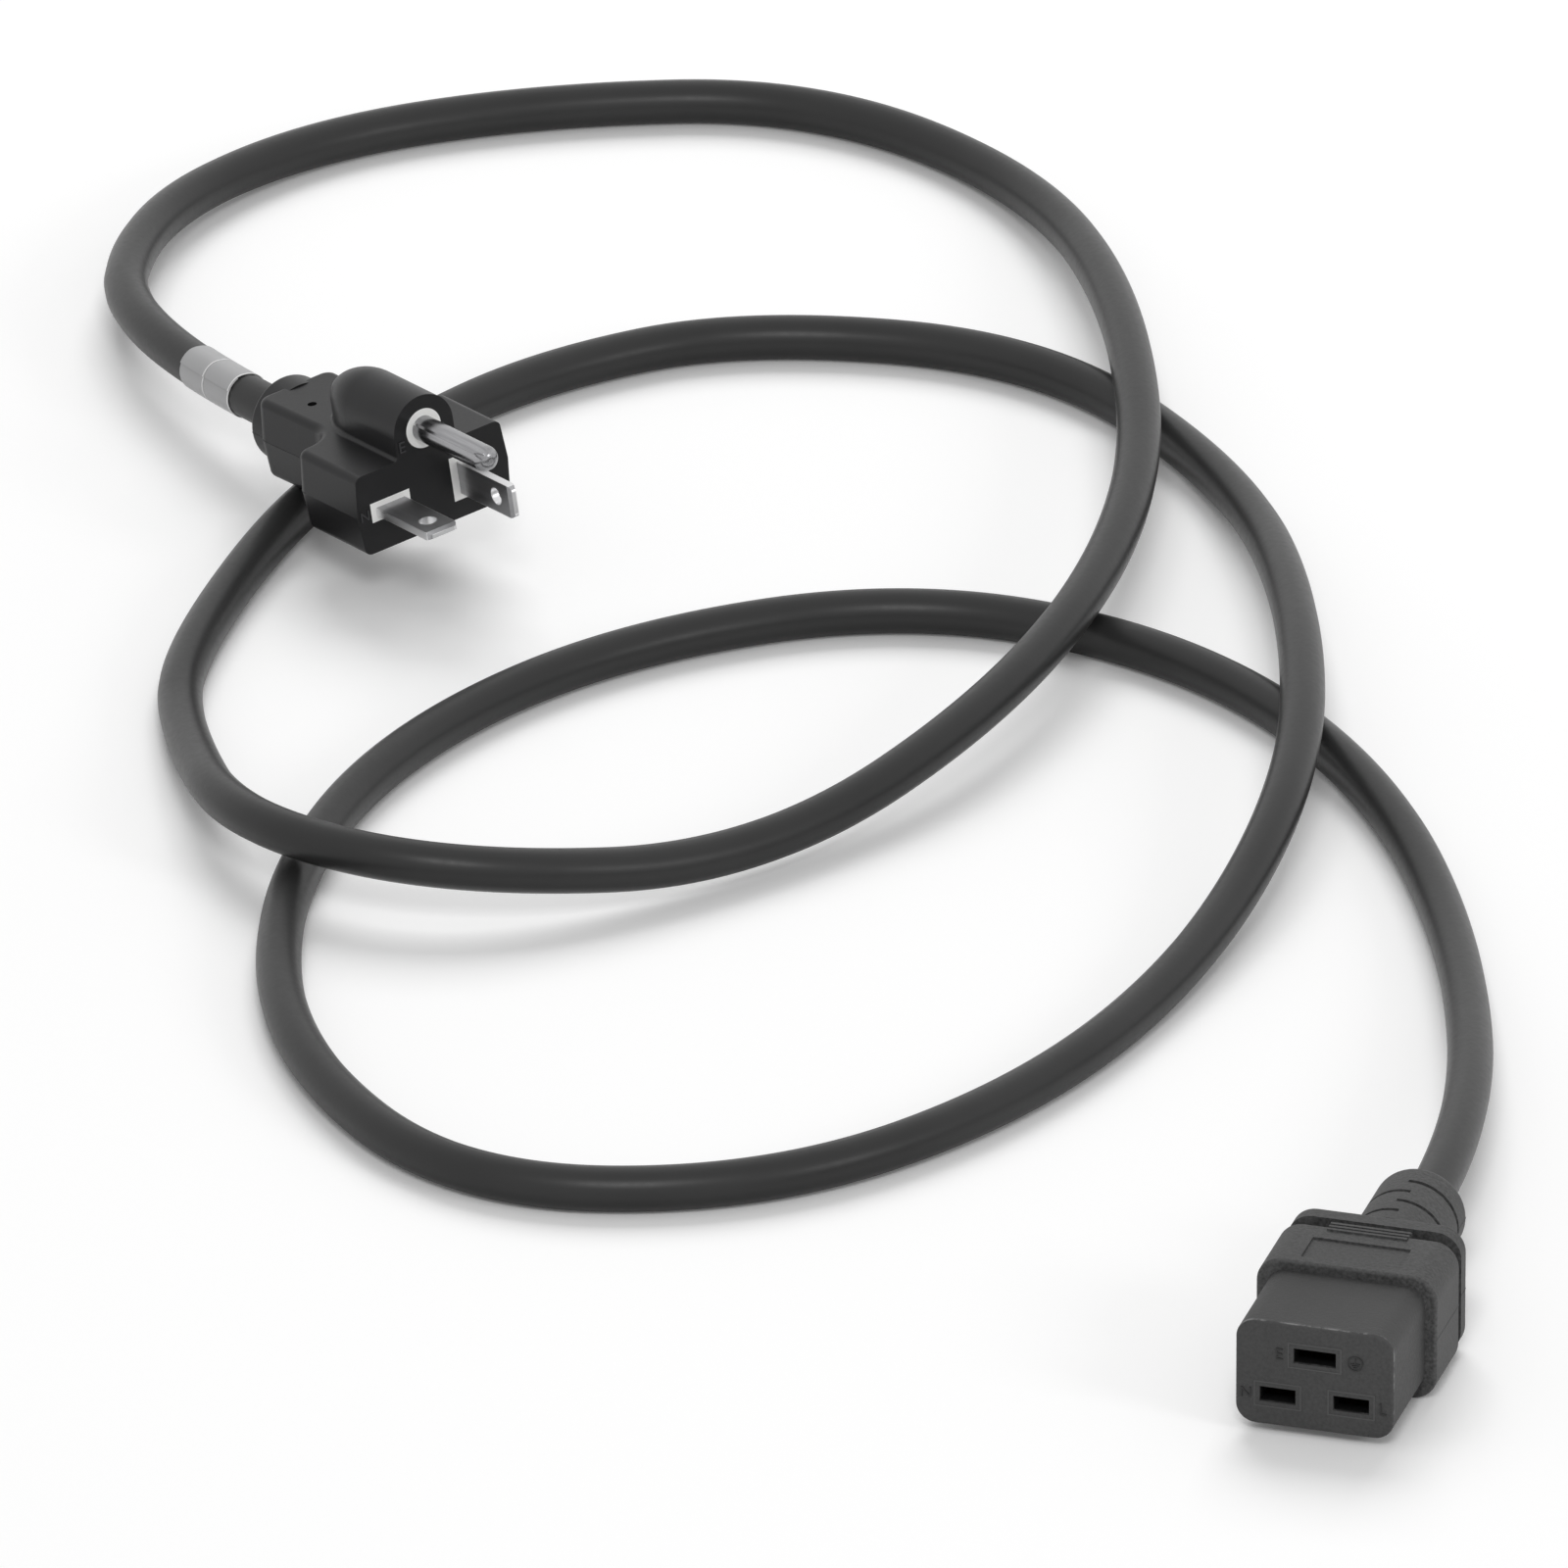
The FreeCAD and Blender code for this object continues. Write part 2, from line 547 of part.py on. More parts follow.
def add_boss(body):
    """Boss about the earth pin: round above the pin, upright walls below, closed at its rear."""
    radius = value("boss_radius")
    straight, end, nose = -value("boss_straight"), -value("boss_end"), value("boss_nose")
    # Side arc and nose arc touch each other where their centres and the touching point are in line
    tall = straight - (end + nose)
    side = (tall ** 2 + radius ** 2 - nose ** 2) / (2 * (radius - nose))
    lean = math.atan2(tall, side - radius)
    nose_centre = FreeCAD.Vector(0, end + nose, 0)
    up = FreeCAD.Vector(0, 0, 1)

    def side_arc(sketch, hand):
        """The long arc of one side, and the line in front of it."""
        front = FreeCAD.Vector(hand * radius, 0, 0)
        line = sketch.addGeometry(Part.LineSegment(
            front, FreeCAD.Vector(hand * radius, straight, 0)), False)
        circle = Part.Circle(FreeCAD.Vector(hand * (radius - side), straight, 0), up, side)
        span = (-lean, 0.0) if hand > 0 else (math.pi, math.pi + lean)
        arc = sketch.addGeometry(Part.ArcOfCircle(circle, *span), False)
        sketch.addConstraint(Sketcher.Constraint("Vertical", line))
        sketch.addConstraint(Sketcher.Constraint("Tangent", line, 2, arc, 2 if hand > 0 else 1))
        return line, arc

    def tie_outline(sketch, front, width, line, tip):
        """Width, straight length, nose radius and reach of the outline."""
        tie(sketch, width, "DistanceX", front, 1, front, 2)
        tie(sketch, "boss_straight", "DistanceY", line, 2, -1, 1)
        tie(sketch, "boss_nose", "Radius", tip)
        tie(sketch, "boss_end - boss_nose", "DistanceY", tip, 3, -1, 1)

    # Plan outline, drawn at the height of the pin and extruded down into the block
    plan = new_sketch(body, "BossPlan", "XZ_Plane", "-earth_height")
    right_line, right_arc = side_arc(plan, 1)
    left_line, left_arc = side_arc(plan, -1)
    tip = plan.addGeometry(Part.ArcOfCircle(
        Part.Circle(nose_centre, up, nose), math.pi + lean, 2 * math.pi - lean), False)
    front = plan.addGeometry(Part.LineSegment(
        FreeCAD.Vector(-radius, 0, 0), FreeCAD.Vector(radius, 0, 0)), False)
    plan.addConstraint([
        Sketcher.Constraint("Tangent", right_arc, 1, tip, 2),
        Sketcher.Constraint("Tangent", left_arc, 2, tip, 1),
        Sketcher.Constraint("Coincident", front, 1, left_line, 1),
        Sketcher.Constraint("Coincident", front, 2, right_line, 1),
        Sketcher.Constraint("PointOnObject", right_line, 1, -1),
        Sketcher.Constraint("Symmetric", left_line, 1, right_line, 1, -1, 1),
        Sketcher.Constraint("PointOnObject", tip, 3, -2),
        Sketcher.Constraint("Equal", left_line, right_line)])
    tie_outline(plan, front, "2 * boss_radius", right_line, tip)
    add_pad(body, "BossWalls", plan, "earth_height - block_top + boss_root")

    # The same outline, right half, turned about the pin
    half = new_sketch(body, "BossHalf", "XZ_Plane", "-earth_height")
    line, arc = side_arc(half, 1)
    tip = half.addGeometry(Part.ArcOfCircle(
        Part.Circle(nose_centre, up, nose), 1.5 * math.pi, 2 * math.pi - lean), False)
    axis = half.addGeometry(Part.LineSegment(
        FreeCAD.Vector(0, end, 0), FreeCAD.Vector(0, 0, 0)), False)
    front = half.addGeometry(Part.LineSegment(
        FreeCAD.Vector(0, 0, 0), FreeCAD.Vector(radius, 0, 0)), False)
    half.addConstraint([
        Sketcher.Constraint("Tangent", arc, 1, tip, 2),
        Sketcher.Constraint("Coincident", tip, 1, axis, 1),
        Sketcher.Constraint("Coincident", axis, 2, front, 1),
        Sketcher.Constraint("Coincident", front, 2, line, 1),
        Sketcher.Constraint("Coincident", axis, 2, -1, 1),
        Sketcher.Constraint("Vertical", axis),
        Sketcher.Constraint("Horizontal", front),
        Sketcher.Constraint("PointOnObject", tip, 3, -2)])
    tie_outline(half, front, "boss_radius", line, tip)
    dome = body.newObject("PartDesign::Revolution", "BossRound")
    dome.Profile = half
    dome.ReferenceAxis = (half, ["V_Axis"])
    dome.Angle = 360.0


def new_plug_body():
    body = new_body("PlugBody")
    half = "block_width / 2"
    plan = new_sketch(body, "PlugPlan", "XZ_Plane")
    shoulder = ("-block_depth", "shoulder_radius")
    hollow = ("-block_depth", "flare_radius")
    rear = ("-grip_end", "grip_corner")
    add_outline(plan, [
        ("-" + half, "0"), ("-" + half,) + shoulder, ("-grip_front_width / 2",) + hollow,
        ("-grip_rear_width / 2",) + rear, ("grip_rear_width / 2",) + rear,
        ("grip_front_width / 2",) + hollow, (half,) + shoulder, (half, "0")])
    # Lower and upper half of the mould, each with its own draft from the parting plane
    parting = [item for item in body.Origin.OriginFeatures if item.Role == "XZ_Plane"][0]
    for name, height, upward in (("Lower", "block_bottom", False), ("Upper", "block_top", True)):
        half_block = add_pad(body, name + "Block", plan, height, upward)
        doc.recompute()
        middle = value(height) / 2 * (1 if upward else -1)
        sides = ["Face%d" % (index + 1) for index, face in enumerate(half_block.Shape.Faces)
                 if abs(face.CenterOfMass.y - middle) < 0.5 and face.CenterOfMass.z < -0.01]
        draft = body.newObject("PartDesign::Draft", name + "Draft")
        draft.Base = (half_block, sides)
        draft.NeutralPlane = (parting, [""])
        draft.Reversed = upward
        draft.setExpression("Angle", cells("block_draft"))
        doc.recompute()
    add_fillet(body, "PlugTopEdge", "top_edge", lambda edge: lies_at(edge, "Y", value("block_top"))
               and not lies_at(edge, "Z", 0))
    add_fillet(body, "PlugBottomEdge", "bottom_edge",
               lambda edge: lies_at(edge, "Y", -value("block_bottom"))
               and not lies_at(edge, "Z", 0))
    add_boss(body)
    add_fillet(body, "BossFoot", "boss_foot", lambda edge: lies_at(edge, "Y", value("block_top"))
               and abs(edge.CenterOfMass.x) < value("boss_radius") + 0.01
               and edge.BoundBox.ZMin > -value("boss_end") - 0.01
               and not lies_at(edge, "Z", 0))
    collar = new_sketch(body, "CollarRound", "XY_Plane", "-grip_end + grip_corner")
    add_circle(collar, "0", "0", "collar_diameter")
    add_pad(body, "Collar", collar, "collar_length + grip_corner", True)
    add_fillet(body, "CollarEdge", "collar_edge",
               lambda edge: lies_at(edge, "Z", -value("grip_end + collar_length")))
    vents = new_sketch(body, "Vents", "XZ_Plane", "-block_top")
    add_circle(vents, "-vent_spread / 2", "-vent_station", "vent_diameter")
    add_circle(vents, "vent_spread / 2", "-vent_station", "vent_diameter")
    add_pocket(body, "VentHoles", vents, "vent_depth", True)
    return body


plug_form = new_plug_body()


# Where pins and contacts stand, seen from each face

PLUG_PINS = {"line": ("line_offset", "0"), "neutral": ("-neutral_offset", "0"),
             "earth": ("0", "earth_height")}
CONNECTOR_PINS = {"line": ("slot_spread", "-slot_rise"), "neutral": ("-slot_spread", "-slot_rise"),
                  "earth": ("0", "slot_rise")}


# Hidden ends of the cord in its mouldings

def new_jacket_end(name, face_to_end, face_to_jacket):
    """The jacketed end of the cord inside a moulding."""
    body = new_body(name)
    sketch = new_sketch(body, name + "_round", "XY_Plane", "-(%s)" % face_to_end)
    add_circle(sketch, "0", "0", "cord_diameter")
    add_pad(body, name + "_pad", sketch, "%s - %s" % (face_to_end, face_to_jacket))
    return body


plug_jacket = new_jacket_end("PlugJacket", "(grip_end + collar_length)", "plug_jacket_end")
plug_cores, plug_strands = {}, {}
for kind, (pin_x, pin_y) in PLUG_PINS.items():
    plug_cores[kind] = new_core("PlugCore_" + kind, kind, (value(pin_x), value(pin_y)), [
        value("plug_jacket_end"), value("plug_core_rise"), value("plug_core_level"),
        value(PLUG_CRIMP_END)])
    plug_strands[kind] = new_strand("PlugStrand_" + kind, pin_x, pin_y, PLUG_CRIMP_END)


# Connector contacts, insert and overmould

CONTACT_START = "(mouth_depth + contact_play)"
CONTACT_END = "(chamber_end)"
CONNECTOR_CRIMP_END = "(chamber_end + crimp_length)"


def new_contact(name, x, y, slot_width):
    """Two bent springs on a base plate that face each other, with a crimp behind the base."""
    body = new_body(name)
    sketch = new_sketch(body, name + "_profile", "YZ_Plane",
                        "%s - (%s - contact_play) / 2" % (x, slot_width))
    outer = "(chamber_height / 2 - contact_play)"
    inner = "(chamber_height / 2 - contact_play - contact_sheet)"
    pinch = "(contact_mouth / 2)"
    waist = "-(mouth_depth + contact_play + contact_pinch)"
    base_front = "-(chamber_end - contact_sheet)"

    def at(offset):
        return "%s + %s" % (y, offset)

    def below(offset):
        return "%s - %s" % (y, offset)

    add_outline(sketch, [
        (below(outer), "-" + CONTACT_END), (at(outer), "-" + CONTACT_END),
        (at(outer), base_front), (at("(contact_mouth / 2 + contact_sheet)"), waist),
        (at(outer), "-" + CONTACT_START), (at(inner), "-" + CONTACT_START), (at(pinch), waist),
        (at(inner), base_front), (below(inner), base_front), (below(pinch), waist),
        (below(inner), "-" + CONTACT_START), (below(outer), "-" + CONTACT_START),
        (below("(contact_mouth / 2 + contact_sheet)"), waist), (below(outer), base_front)])
    add_pad(body, name + "_springs", sketch, "%s - contact_play" % slot_width)
    add_crimp(body, name + "_crimp", x, y, CONTACT_END)
    return body


def new_insert():
    """The front block that carries the contacts, partly hidden in the overmould."""
    body = new_body("Insert")
    block = new_sketch(body, "InsertOutline", "XY_Plane")
    add_outline(block, centred("insert_width", "insert_height", "insert_corner"))
    add_pad(body, "InsertBlock", block, "insert_length", True)
    add_fillet(body, "InsertEdge", "insert_edge", lambda edge: lies_at(edge, "Z", 0))
    return body


def new_chamber(name, x, y, slot_width):
    """The room of one slot: its mouth, and the contact's chamber behind it."""
    body = new_body(name)
    mouth = new_sketch(body, name + "_mouth", "XY_Plane", "mouth_depth")
    add_outline(mouth, rectangle(
        "%s - %s / 2" % (x, slot_width), "%s - slot_height / 2" % y,
        "%s + %s / 2" % (x, slot_width), "%s + slot_height / 2" % y))
    add_pad(body, name + "_mouth_pad", mouth, "2 * mouth_depth", True)
    chamber = new_sketch(body, name + "_chamber", "XY_Plane", "-mouth_depth")
    add_outline(chamber, rectangle(
        "%s - %s / 2" % (x, slot_width), "%s - chamber_height / 2" % y,
        "%s + %s / 2" % (x, slot_width), "%s + chamber_height / 2" % y))
    add_pad(body, name + "_chamber_pad", chamber, "chamber_end - mouth_depth", True)
    return body


def add_relief_slots(body, side, first):
    """Slots cut round one side of the strain relief, each a little past top and bottom."""
    name = "ReliefSlots" + ("Right" if side > 0 else "Left")
    near, far = ("relief_core / 2", "relief_diameter") if side > 0 else (
        "-relief_diameter", "-relief_core / 2")
    sketch = new_sketch(body, name + "Outline", "XZ_Plane")
    add_outline(sketch, rectangle(near, "-(%s) - relief_slot" % first, far, "-(%s)" % first))

    def set_up(groove):
        groove.ReferenceAxis = (sketch, ["V_Axis"])
        groove.Midplane = True
        groove.setExpression("Angle", cells("relief_span"))

    groove = cut_in(body, "PartDesign::Groove", name, sketch, set_up)
    pattern = body.newObject("PartDesign::LinearPattern", name + "Row")
    pattern.Originals = [groove]
    pattern.Direction = (sketch, ["V_Axis"])
    pattern.Reversed = True
    pattern.setExpression("Length", cells("relief_pitch * %d" % (RELIEF_SLOTS - 1)))
    pattern.Occurrences = RELIEF_SLOTS
    body.Tip = pattern


def new_shell():
    """The overmould: shell, neck, plate and strain relief, with panel and grip ribs on top."""
    body = new_body("Shell")
    shell = new_sketch(body, "ShellOutline", "XY_Plane", "-shell_front")
    add_outline(shell, centred("shell_width", "shell_height", "shell_corner"))
    add_pad(body, "ShellBlock", shell, "shell_end - shell_front", True)
    add_fillet(body, "ShellEdges", "shell_edge",
               lambda edge: lies_at(edge, "Z", -value("shell_front"))
               or lies_at(edge, "Z", -value("shell_end")))
    neck = new_sketch(body, "NeckOutline", "XY_Plane", "-shell_end")
    add_outline(neck, centred("(shell_width - 2 * neck_depth)", "(shell_height - 2 * neck_depth)",
                              "shell_corner - neck_depth"))
    add_pad(body, "Neck", neck, "neck_length", True)
    plate = new_sketch(body, "PlateOutline", "XY_Plane", "-(shell_end + neck_length)")
    add_outline(plate, centred("plate_width", "plate_height", "shell_corner"))
    add_pad(body, "Plate", plate, "plate_end - shell_end - neck_length", True)
    add_fillet(body, "PlateEdge", "plate_edge", lambda edge: lies_at(edge, "Z", -value("plate_end")))
    relief = new_sketch(body, "ReliefRound", "XY_Plane", "-plate_end")
    add_circle(relief, "0", "0", "relief_diameter")
    add_pad(body, "Relief", relief, "connector_length - plate_end", True)
    add_fillet(body, "ReliefEdge", "relief_edge",
               lambda edge: lies_at(edge, "Z", -value("connector_length")))
    add_relief_slots(body, 1, "relief_first")
    add_relief_slots(body, -1, "relief_first - relief_pitch / 2")
    panel = new_sketch(body, "PanelOutline", "XZ_Plane", "-shell_height / 2")
    add_outline(panel, rectangle("-panel_width / 2", "-panel_front - panel_length",
                                 "panel_width / 2", "-panel_front"))
    add_pocket(body, "Panel", panel, "panel_depth", True)
    bridge_pad = new_sketch(body, "RibBaseOutline", "XY_Plane", "-rib_front")
    add_outline(bridge_pad, rectangle("-rib_width / 2", "shell_height / 2 - 2 * neck_depth",
                                      "rib_width / 2", "shell_height / 2"))
    add_pad(body, "RibBase", bridge_pad, "rib_pitch * %d" % RIB_COUNT, True)
    rib = new_sketch(body, "RibOutline", "XY_Plane", "-rib_front")
    add_outline(rib, rectangle("-rib_width / 2", "shell_height / 2 - neck_depth",
                               "rib_width / 2", "shell_height / 2 + rib_rise"))
    first = add_pad(body, "Rib", rib, "rib_length", True)
    row = body.newObject("PartDesign::LinearPattern", "RibRow")
    row.Originals = [first]
    row.Direction = (rib, ["N_Axis"])
    row.Reversed = True
    row.setExpression("Length", cells("rib_pitch * %d" % (RIB_COUNT - 1)))
    row.Occurrences = RIB_COUNT
    body.Tip = row
    return body


insert_form = new_insert()
shell_form = new_shell()
connector_jacket = new_jacket_end("ConnectorJacket", "connector_length", "connector_jacket_end")
contacts, chambers, connector_cores, connector_strands = {}, {}, {}, {}
for kind, (pin_x, pin_y) in CONNECTOR_PINS.items():
    slot = "earth_slot_width" if kind == "earth" else "power_slot_width"
    contacts[kind] = new_contact("Contact_" + kind, pin_x, pin_y, slot)
    chambers[kind] = new_chamber("Chamber_" + kind, pin_x, pin_y, slot)
    connector_cores[kind] = new_core(
        "ConnectorCore_" + kind, kind, (value(pin_x), value(pin_y)), [
            value("connector_jacket_end"), value("connector_core_rise"),
            value("connector_core_level"), value(CONNECTOR_CRIMP_END)])
    connector_strands[kind] = new_strand("ConnectorStrand_" + kind, pin_x, pin_y,
                                         CONNECTOR_CRIMP_END)


# Wrap labels, on the straight stretch of cord behind the plug

def new_label(name, start):
    body = new_body(name)
    sketch = new_sketch(body, name + "_round", "XY_Plane",
                        "-(grip_end + collar_length + %s)" % start)
    add_circle(sketch, "0", "0", "cord_diameter + 2 * label_clearance")
    add_circle(sketch, "0", "0", "cord_diameter + 2 * label_clearance + 2 * label_thickness")
    add_pad(body, name + "_wrap", sketch, "label_length", True)
    return body


front_label = new_label("FrontLabel", "label_start")
rear_label = new_label("RearLabel", "label_start + label_length + label_gap")

in_plug = [plug_form, bridge, line_blade, neutral_blade, earth_pin, plug_jacket, front_label,
           rear_label] + list(plug_cores.values()) + list(plug_strands.values())
in_connector = ([insert_form, shell_form, connector_jacket] + list(contacts.values())
                + list(chambers.values()) + list(connector_cores.values())
                + list(connector_strands.values()))
for item in in_plug:
    put_in_plug(item)
for item in in_connector:
    put_in_connector(item)


# The cord: its points on the floor and over itself, from the connector to the plug

def cord_route():
    """Points of the cord's route, chosen by hand. The floor and crossing heights follow the cord."""
    low = value("floor_gap + cord_diameter / 2")
    high = low + value("cord_diameter + cross_gap")
    axis = value("shell_height / 2")
    flat = [(0, value("connector_length / 2"), axis), (0, 68, axis), (-24, 147, low),
            (-56, 207, low), (-100, 247, low), (-155, 256, low), (-203, 221, low),
            (-228, 168, low), (-229, 108, low), (-209, 50, low), (-166, 9, low),
            (-114, 23, low), (-81, 69, low), (-67, 129, low), (-65, 188, high),
            (-83, 252, high), (-113, 317, low), (-160, 359, low), (-216, 354, low),
            (-247, 326, low), (-264, 290, low), (-273, 254, low), (-273, 194, low),
            (-264, 166, low), (-239, 117, high), (-196, 108, high), (-151, 145, low),
            (-122, 208, high), (-122, 287, high), (-146, 361, high), (-182, 427, low),
            (-232, 452, low), (-281, 434, low), (-317, 406, low),
            (-333, 362, low + value("last_lift"))]
    points = [FreeCAD.Vector(*point) for point in flat]
    # The last run is in line with the plug
    outward = plug_form.Placement.Rotation.multVec(FreeCAD.Vector(0, 0, 1))
    plug_rear = plug_form.Placement.Base - outward * value("grip_end + collar_length")
    points.append(plug_rear - outward * value("last_run"))
    points.append(plug_rear)
    return points


doc.recompute()
route = cord_route()
cord, cord_length = new_tube("Cord", route, value("cord_diameter"))
print("bend radii", [round(radius, 1) for radius in bend_radii(route)])
print("cord length %.1f" % cord_length)


# Pieces of the product, each with the room that its neighbours take cut out of it

KINDS = ("line", "neutral", "earth")
plug_room = [plug_jacket] + [plug_cores[kind] for kind in KINDS]
pins = {"line": line_blade, "neutral": neutral_blade, "earth": earth_pin}
keep(without(plug_form, [bridge] + [pins[kind] for kind in KINDS] + plug_room
             + [plug_strands[kind] for kind in KINDS]), "plug_body")
keep(without(bridge, [pins[kind] for kind in KINDS]), "plug_bridge")
keep(line_blade, "plug_line_blade")
keep(neutral_blade, "plug_neutral_blade")
keep(earth_pin, "plug_earth_pin")
keep(plug_jacket, "plug_cord_end")
connector_room = [connector_jacket] + [connector_cores[kind] for kind in KINDS]
keep(without(shell_form, [insert_form] + connector_room), "connector_body")
keep(without(insert_form, [chambers[kind] for kind in KINDS] + [contacts[kind] for kind in KINDS]
             + [connector_cores[kind] for kind in KINDS]
             + [connector_strands[kind] for kind in KINDS]), "connector_insert")
keep(connector_jacket, "connector_cord_end")
for kind in KINDS:
    keep(plug_cores[kind], "plug_%s_core" % kind)
    keep(plug_strands[kind], "plug_%s_copper" % kind)
    keep(contacts[kind], "connector_%s_contact" % kind)
    keep(connector_cores[kind], "connector_%s_core" % kind)
    keep(connector_strands[kind], "connector_%s_copper" % kind)
keep(cord, "cord")
keep(front_label, "label_front")
keep(rear_label, "label_rear")

doc.recompute()
for item in doc.Objects:
    if "Invalid" in item.State or "Error" in item.State:
        raise ValueError("%s: %s" % (item.Label, item.State))
for item in PIECES:
    if item.Shape.isNull() or not item.Shape.isValid():
        raise ValueError(item.Label + " has no valid shape")

os.makedirs("parts", exist_ok=True)
for item in PIECES:
    item.Shape.exportStep("parts/%s.step" % item.Label)
    print("%-28s solids %d volume %.1f" % (item.Label, len(item.Shape.Solids), item.Shape.Volume))
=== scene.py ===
import json
import math

import bmesh
import bpy
from mathutils import Matrix, Vector


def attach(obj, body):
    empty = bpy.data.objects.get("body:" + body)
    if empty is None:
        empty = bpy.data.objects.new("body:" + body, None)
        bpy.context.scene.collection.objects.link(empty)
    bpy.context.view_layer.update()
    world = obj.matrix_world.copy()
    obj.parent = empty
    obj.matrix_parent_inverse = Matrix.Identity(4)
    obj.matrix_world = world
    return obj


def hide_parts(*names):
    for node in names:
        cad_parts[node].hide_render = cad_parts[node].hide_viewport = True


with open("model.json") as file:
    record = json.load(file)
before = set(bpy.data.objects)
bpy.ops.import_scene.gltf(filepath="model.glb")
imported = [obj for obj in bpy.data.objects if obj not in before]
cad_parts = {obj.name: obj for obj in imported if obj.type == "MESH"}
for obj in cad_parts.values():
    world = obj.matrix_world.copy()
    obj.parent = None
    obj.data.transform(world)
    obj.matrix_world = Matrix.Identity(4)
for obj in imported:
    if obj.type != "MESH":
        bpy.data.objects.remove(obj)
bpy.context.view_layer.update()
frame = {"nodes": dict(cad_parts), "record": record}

MM = 0.001
NODES = frame["nodes"]

# Sizes that the source has too, in millimetres and degrees
CORD_DIAMETER = 8.0
LAST_RUN = 56.0
PLUG_FACE = Vector((-241.0, 243.0, 19.8))
PLUG_TURN = 51.0
PLUG_TILT = 5.0
PLUG_ROLL = 6.0
PLUG_LENGTH = 46.5
BLADE_WIDTH = 6.35
BLADE_LENGTH = 17.0
BLADE_HOLE = 3.2
HOLE_STATION = 11.9
NEUTRAL_ACROSS = -9.1
AXIS_HEIGHT = 11.6
CONNECTOR_LENGTH = 67.5
SLOT_HEIGHT = 2.8
EARTH_SLOT_WIDTH = 7.5
POWER_SLOT_WIDTH = 6.35
SLOT_RISE = 4.0
SLOT_SPREAD = 6.5


def face_frame(place, turn, tilt, roll):
    """From a face's own frame, x right, y up and z outwards, in millimetres, to the row frame."""
    turned = (Matrix.Rotation(math.radians(turn), 4, "Z")
              @ Matrix.Rotation(math.radians(90.0 - tilt), 4, "X")
              @ Matrix.Rotation(math.radians(roll), 4, "Z"))
    return Matrix.Scale(MM, 4) @ Matrix.Translation(place) @ turned


# The frames of the two ends' faces
IN_PLUG = face_frame(PLUG_FACE, PLUG_TURN, PLUG_TILT, PLUG_ROLL)
IN_CONNECTOR = face_frame(Vector((0.0, -CONNECTOR_LENGTH / 2, AXIS_HEIGHT)), 0.0, 0.0, 0.0)


# Camera and light

# A long lens from far away: its focal length is 40000 pixels of a frame 1600 pixels wide
LENS_PIXELS = 40000.0
IMAGE_PIXELS = 1600.0
SENSOR = 36.0
CAMERA_PLACE = Vector((1601.72, -5758.48, 3023.25)) * MM
CAMERA_AIM = Vector((-158.77, 184.84, 0.0)) * MM
SPIRAL_MIDDLE = Vector((-0.16, 0.2, 0.0))
WORLD_LIGHT = 0.38
FLOOR_LIFT = 0.06
FLOOR_HALF = 4.0


def add_camera():
    """The camera at the photograph's place, which looks down at the spiral from the front."""
    data = bpy.data.cameras.new("camera")
    data.sensor_width = SENSOR
    data.sensor_height = SENSOR
    data.lens = SENSOR * LENS_PIXELS / IMAGE_PIXELS
    data.clip_start = 0.05
    data.clip_end = 60.0
    camera = bpy.data.objects.new("camera", data)
    camera.location = CAMERA_PLACE
    camera.rotation_euler = (CAMERA_AIM - CAMERA_PLACE).to_track_quat("-Z", "Y").to_euler()
    bpy.context.scene.collection.objects.link(camera)
    bpy.context.scene.camera = camera


def add_lamp(name, place, size, watts, mirrored=True):
    """A square soft lamp that looks at the middle of the object, mirrored in it or not."""
    data = bpy.data.lights.new(name, "AREA")
    data.size = size
    data.energy = watts
    lamp = bpy.data.objects.new(name, data)
    lamp.location = place
    lamp.visible_glossy = mirrored
    lamp.rotation_euler = (SPIRAL_MIDDLE - lamp.location).to_track_quat("-Z", "Y").to_euler()
    bpy.context.scene.collection.objects.link(lamp)


# Nodes and materials

def linear(code):
    """An sRGB hex colour as linear red, green, blue and alpha."""
    channels = [int(code[at:at + 2], 16) / 255.0 for at in (1, 3, 5)]
    return tuple(level / 12.92 if level <= 0.04045 else ((level + 0.055) / 1.055) ** 2.4
                 for level in channels) + (1.0,)


def add_node(tree, kind, inputs=None, **settings):
    """A node with its settings. An input is a value, or the output that it takes."""
    node = tree.nodes.new(kind)
    for name, setting in settings.items():
        setattr(node, name, setting)
    for name, source in (inputs or {}).items():
        if isinstance(source, bpy.types.NodeSocket):
            tree.links.new(source, node.inputs[name])
        else:
            node.inputs[name].default_value = source
    return node


def new_material(name, **sockets):
    """A material with one main shader, its constant sockets set, and the shader's tree."""
    material = bpy.data.materials.new(name)
    material.use_nodes = True
    tree = material.node_tree
    shader = tree.nodes["Principled BSDF"]
    for socket, level in sockets.items():
        shader.inputs[socket.replace("_", " ")].default_value = level
    return material, tree, shader


def two_shades(tree, noise, spread, dark, pale):
    """The dark colour where the noise is low, the pale one where it is high, soft between."""
    level = add_node(tree, "ShaderNodeMapRange", {
        "Value": noise.outputs["Fac"], "From Min": 0.5 - spread, "From Max": 0.5 + spread})
    return add_node(tree, "ShaderNodeMix", {
        "Factor": level.outputs["Result"], "A": linear(dark), "B": linear(pale)},
        data_type="RGBA").outputs["Result"]


PATCH_SIZE = 40.0


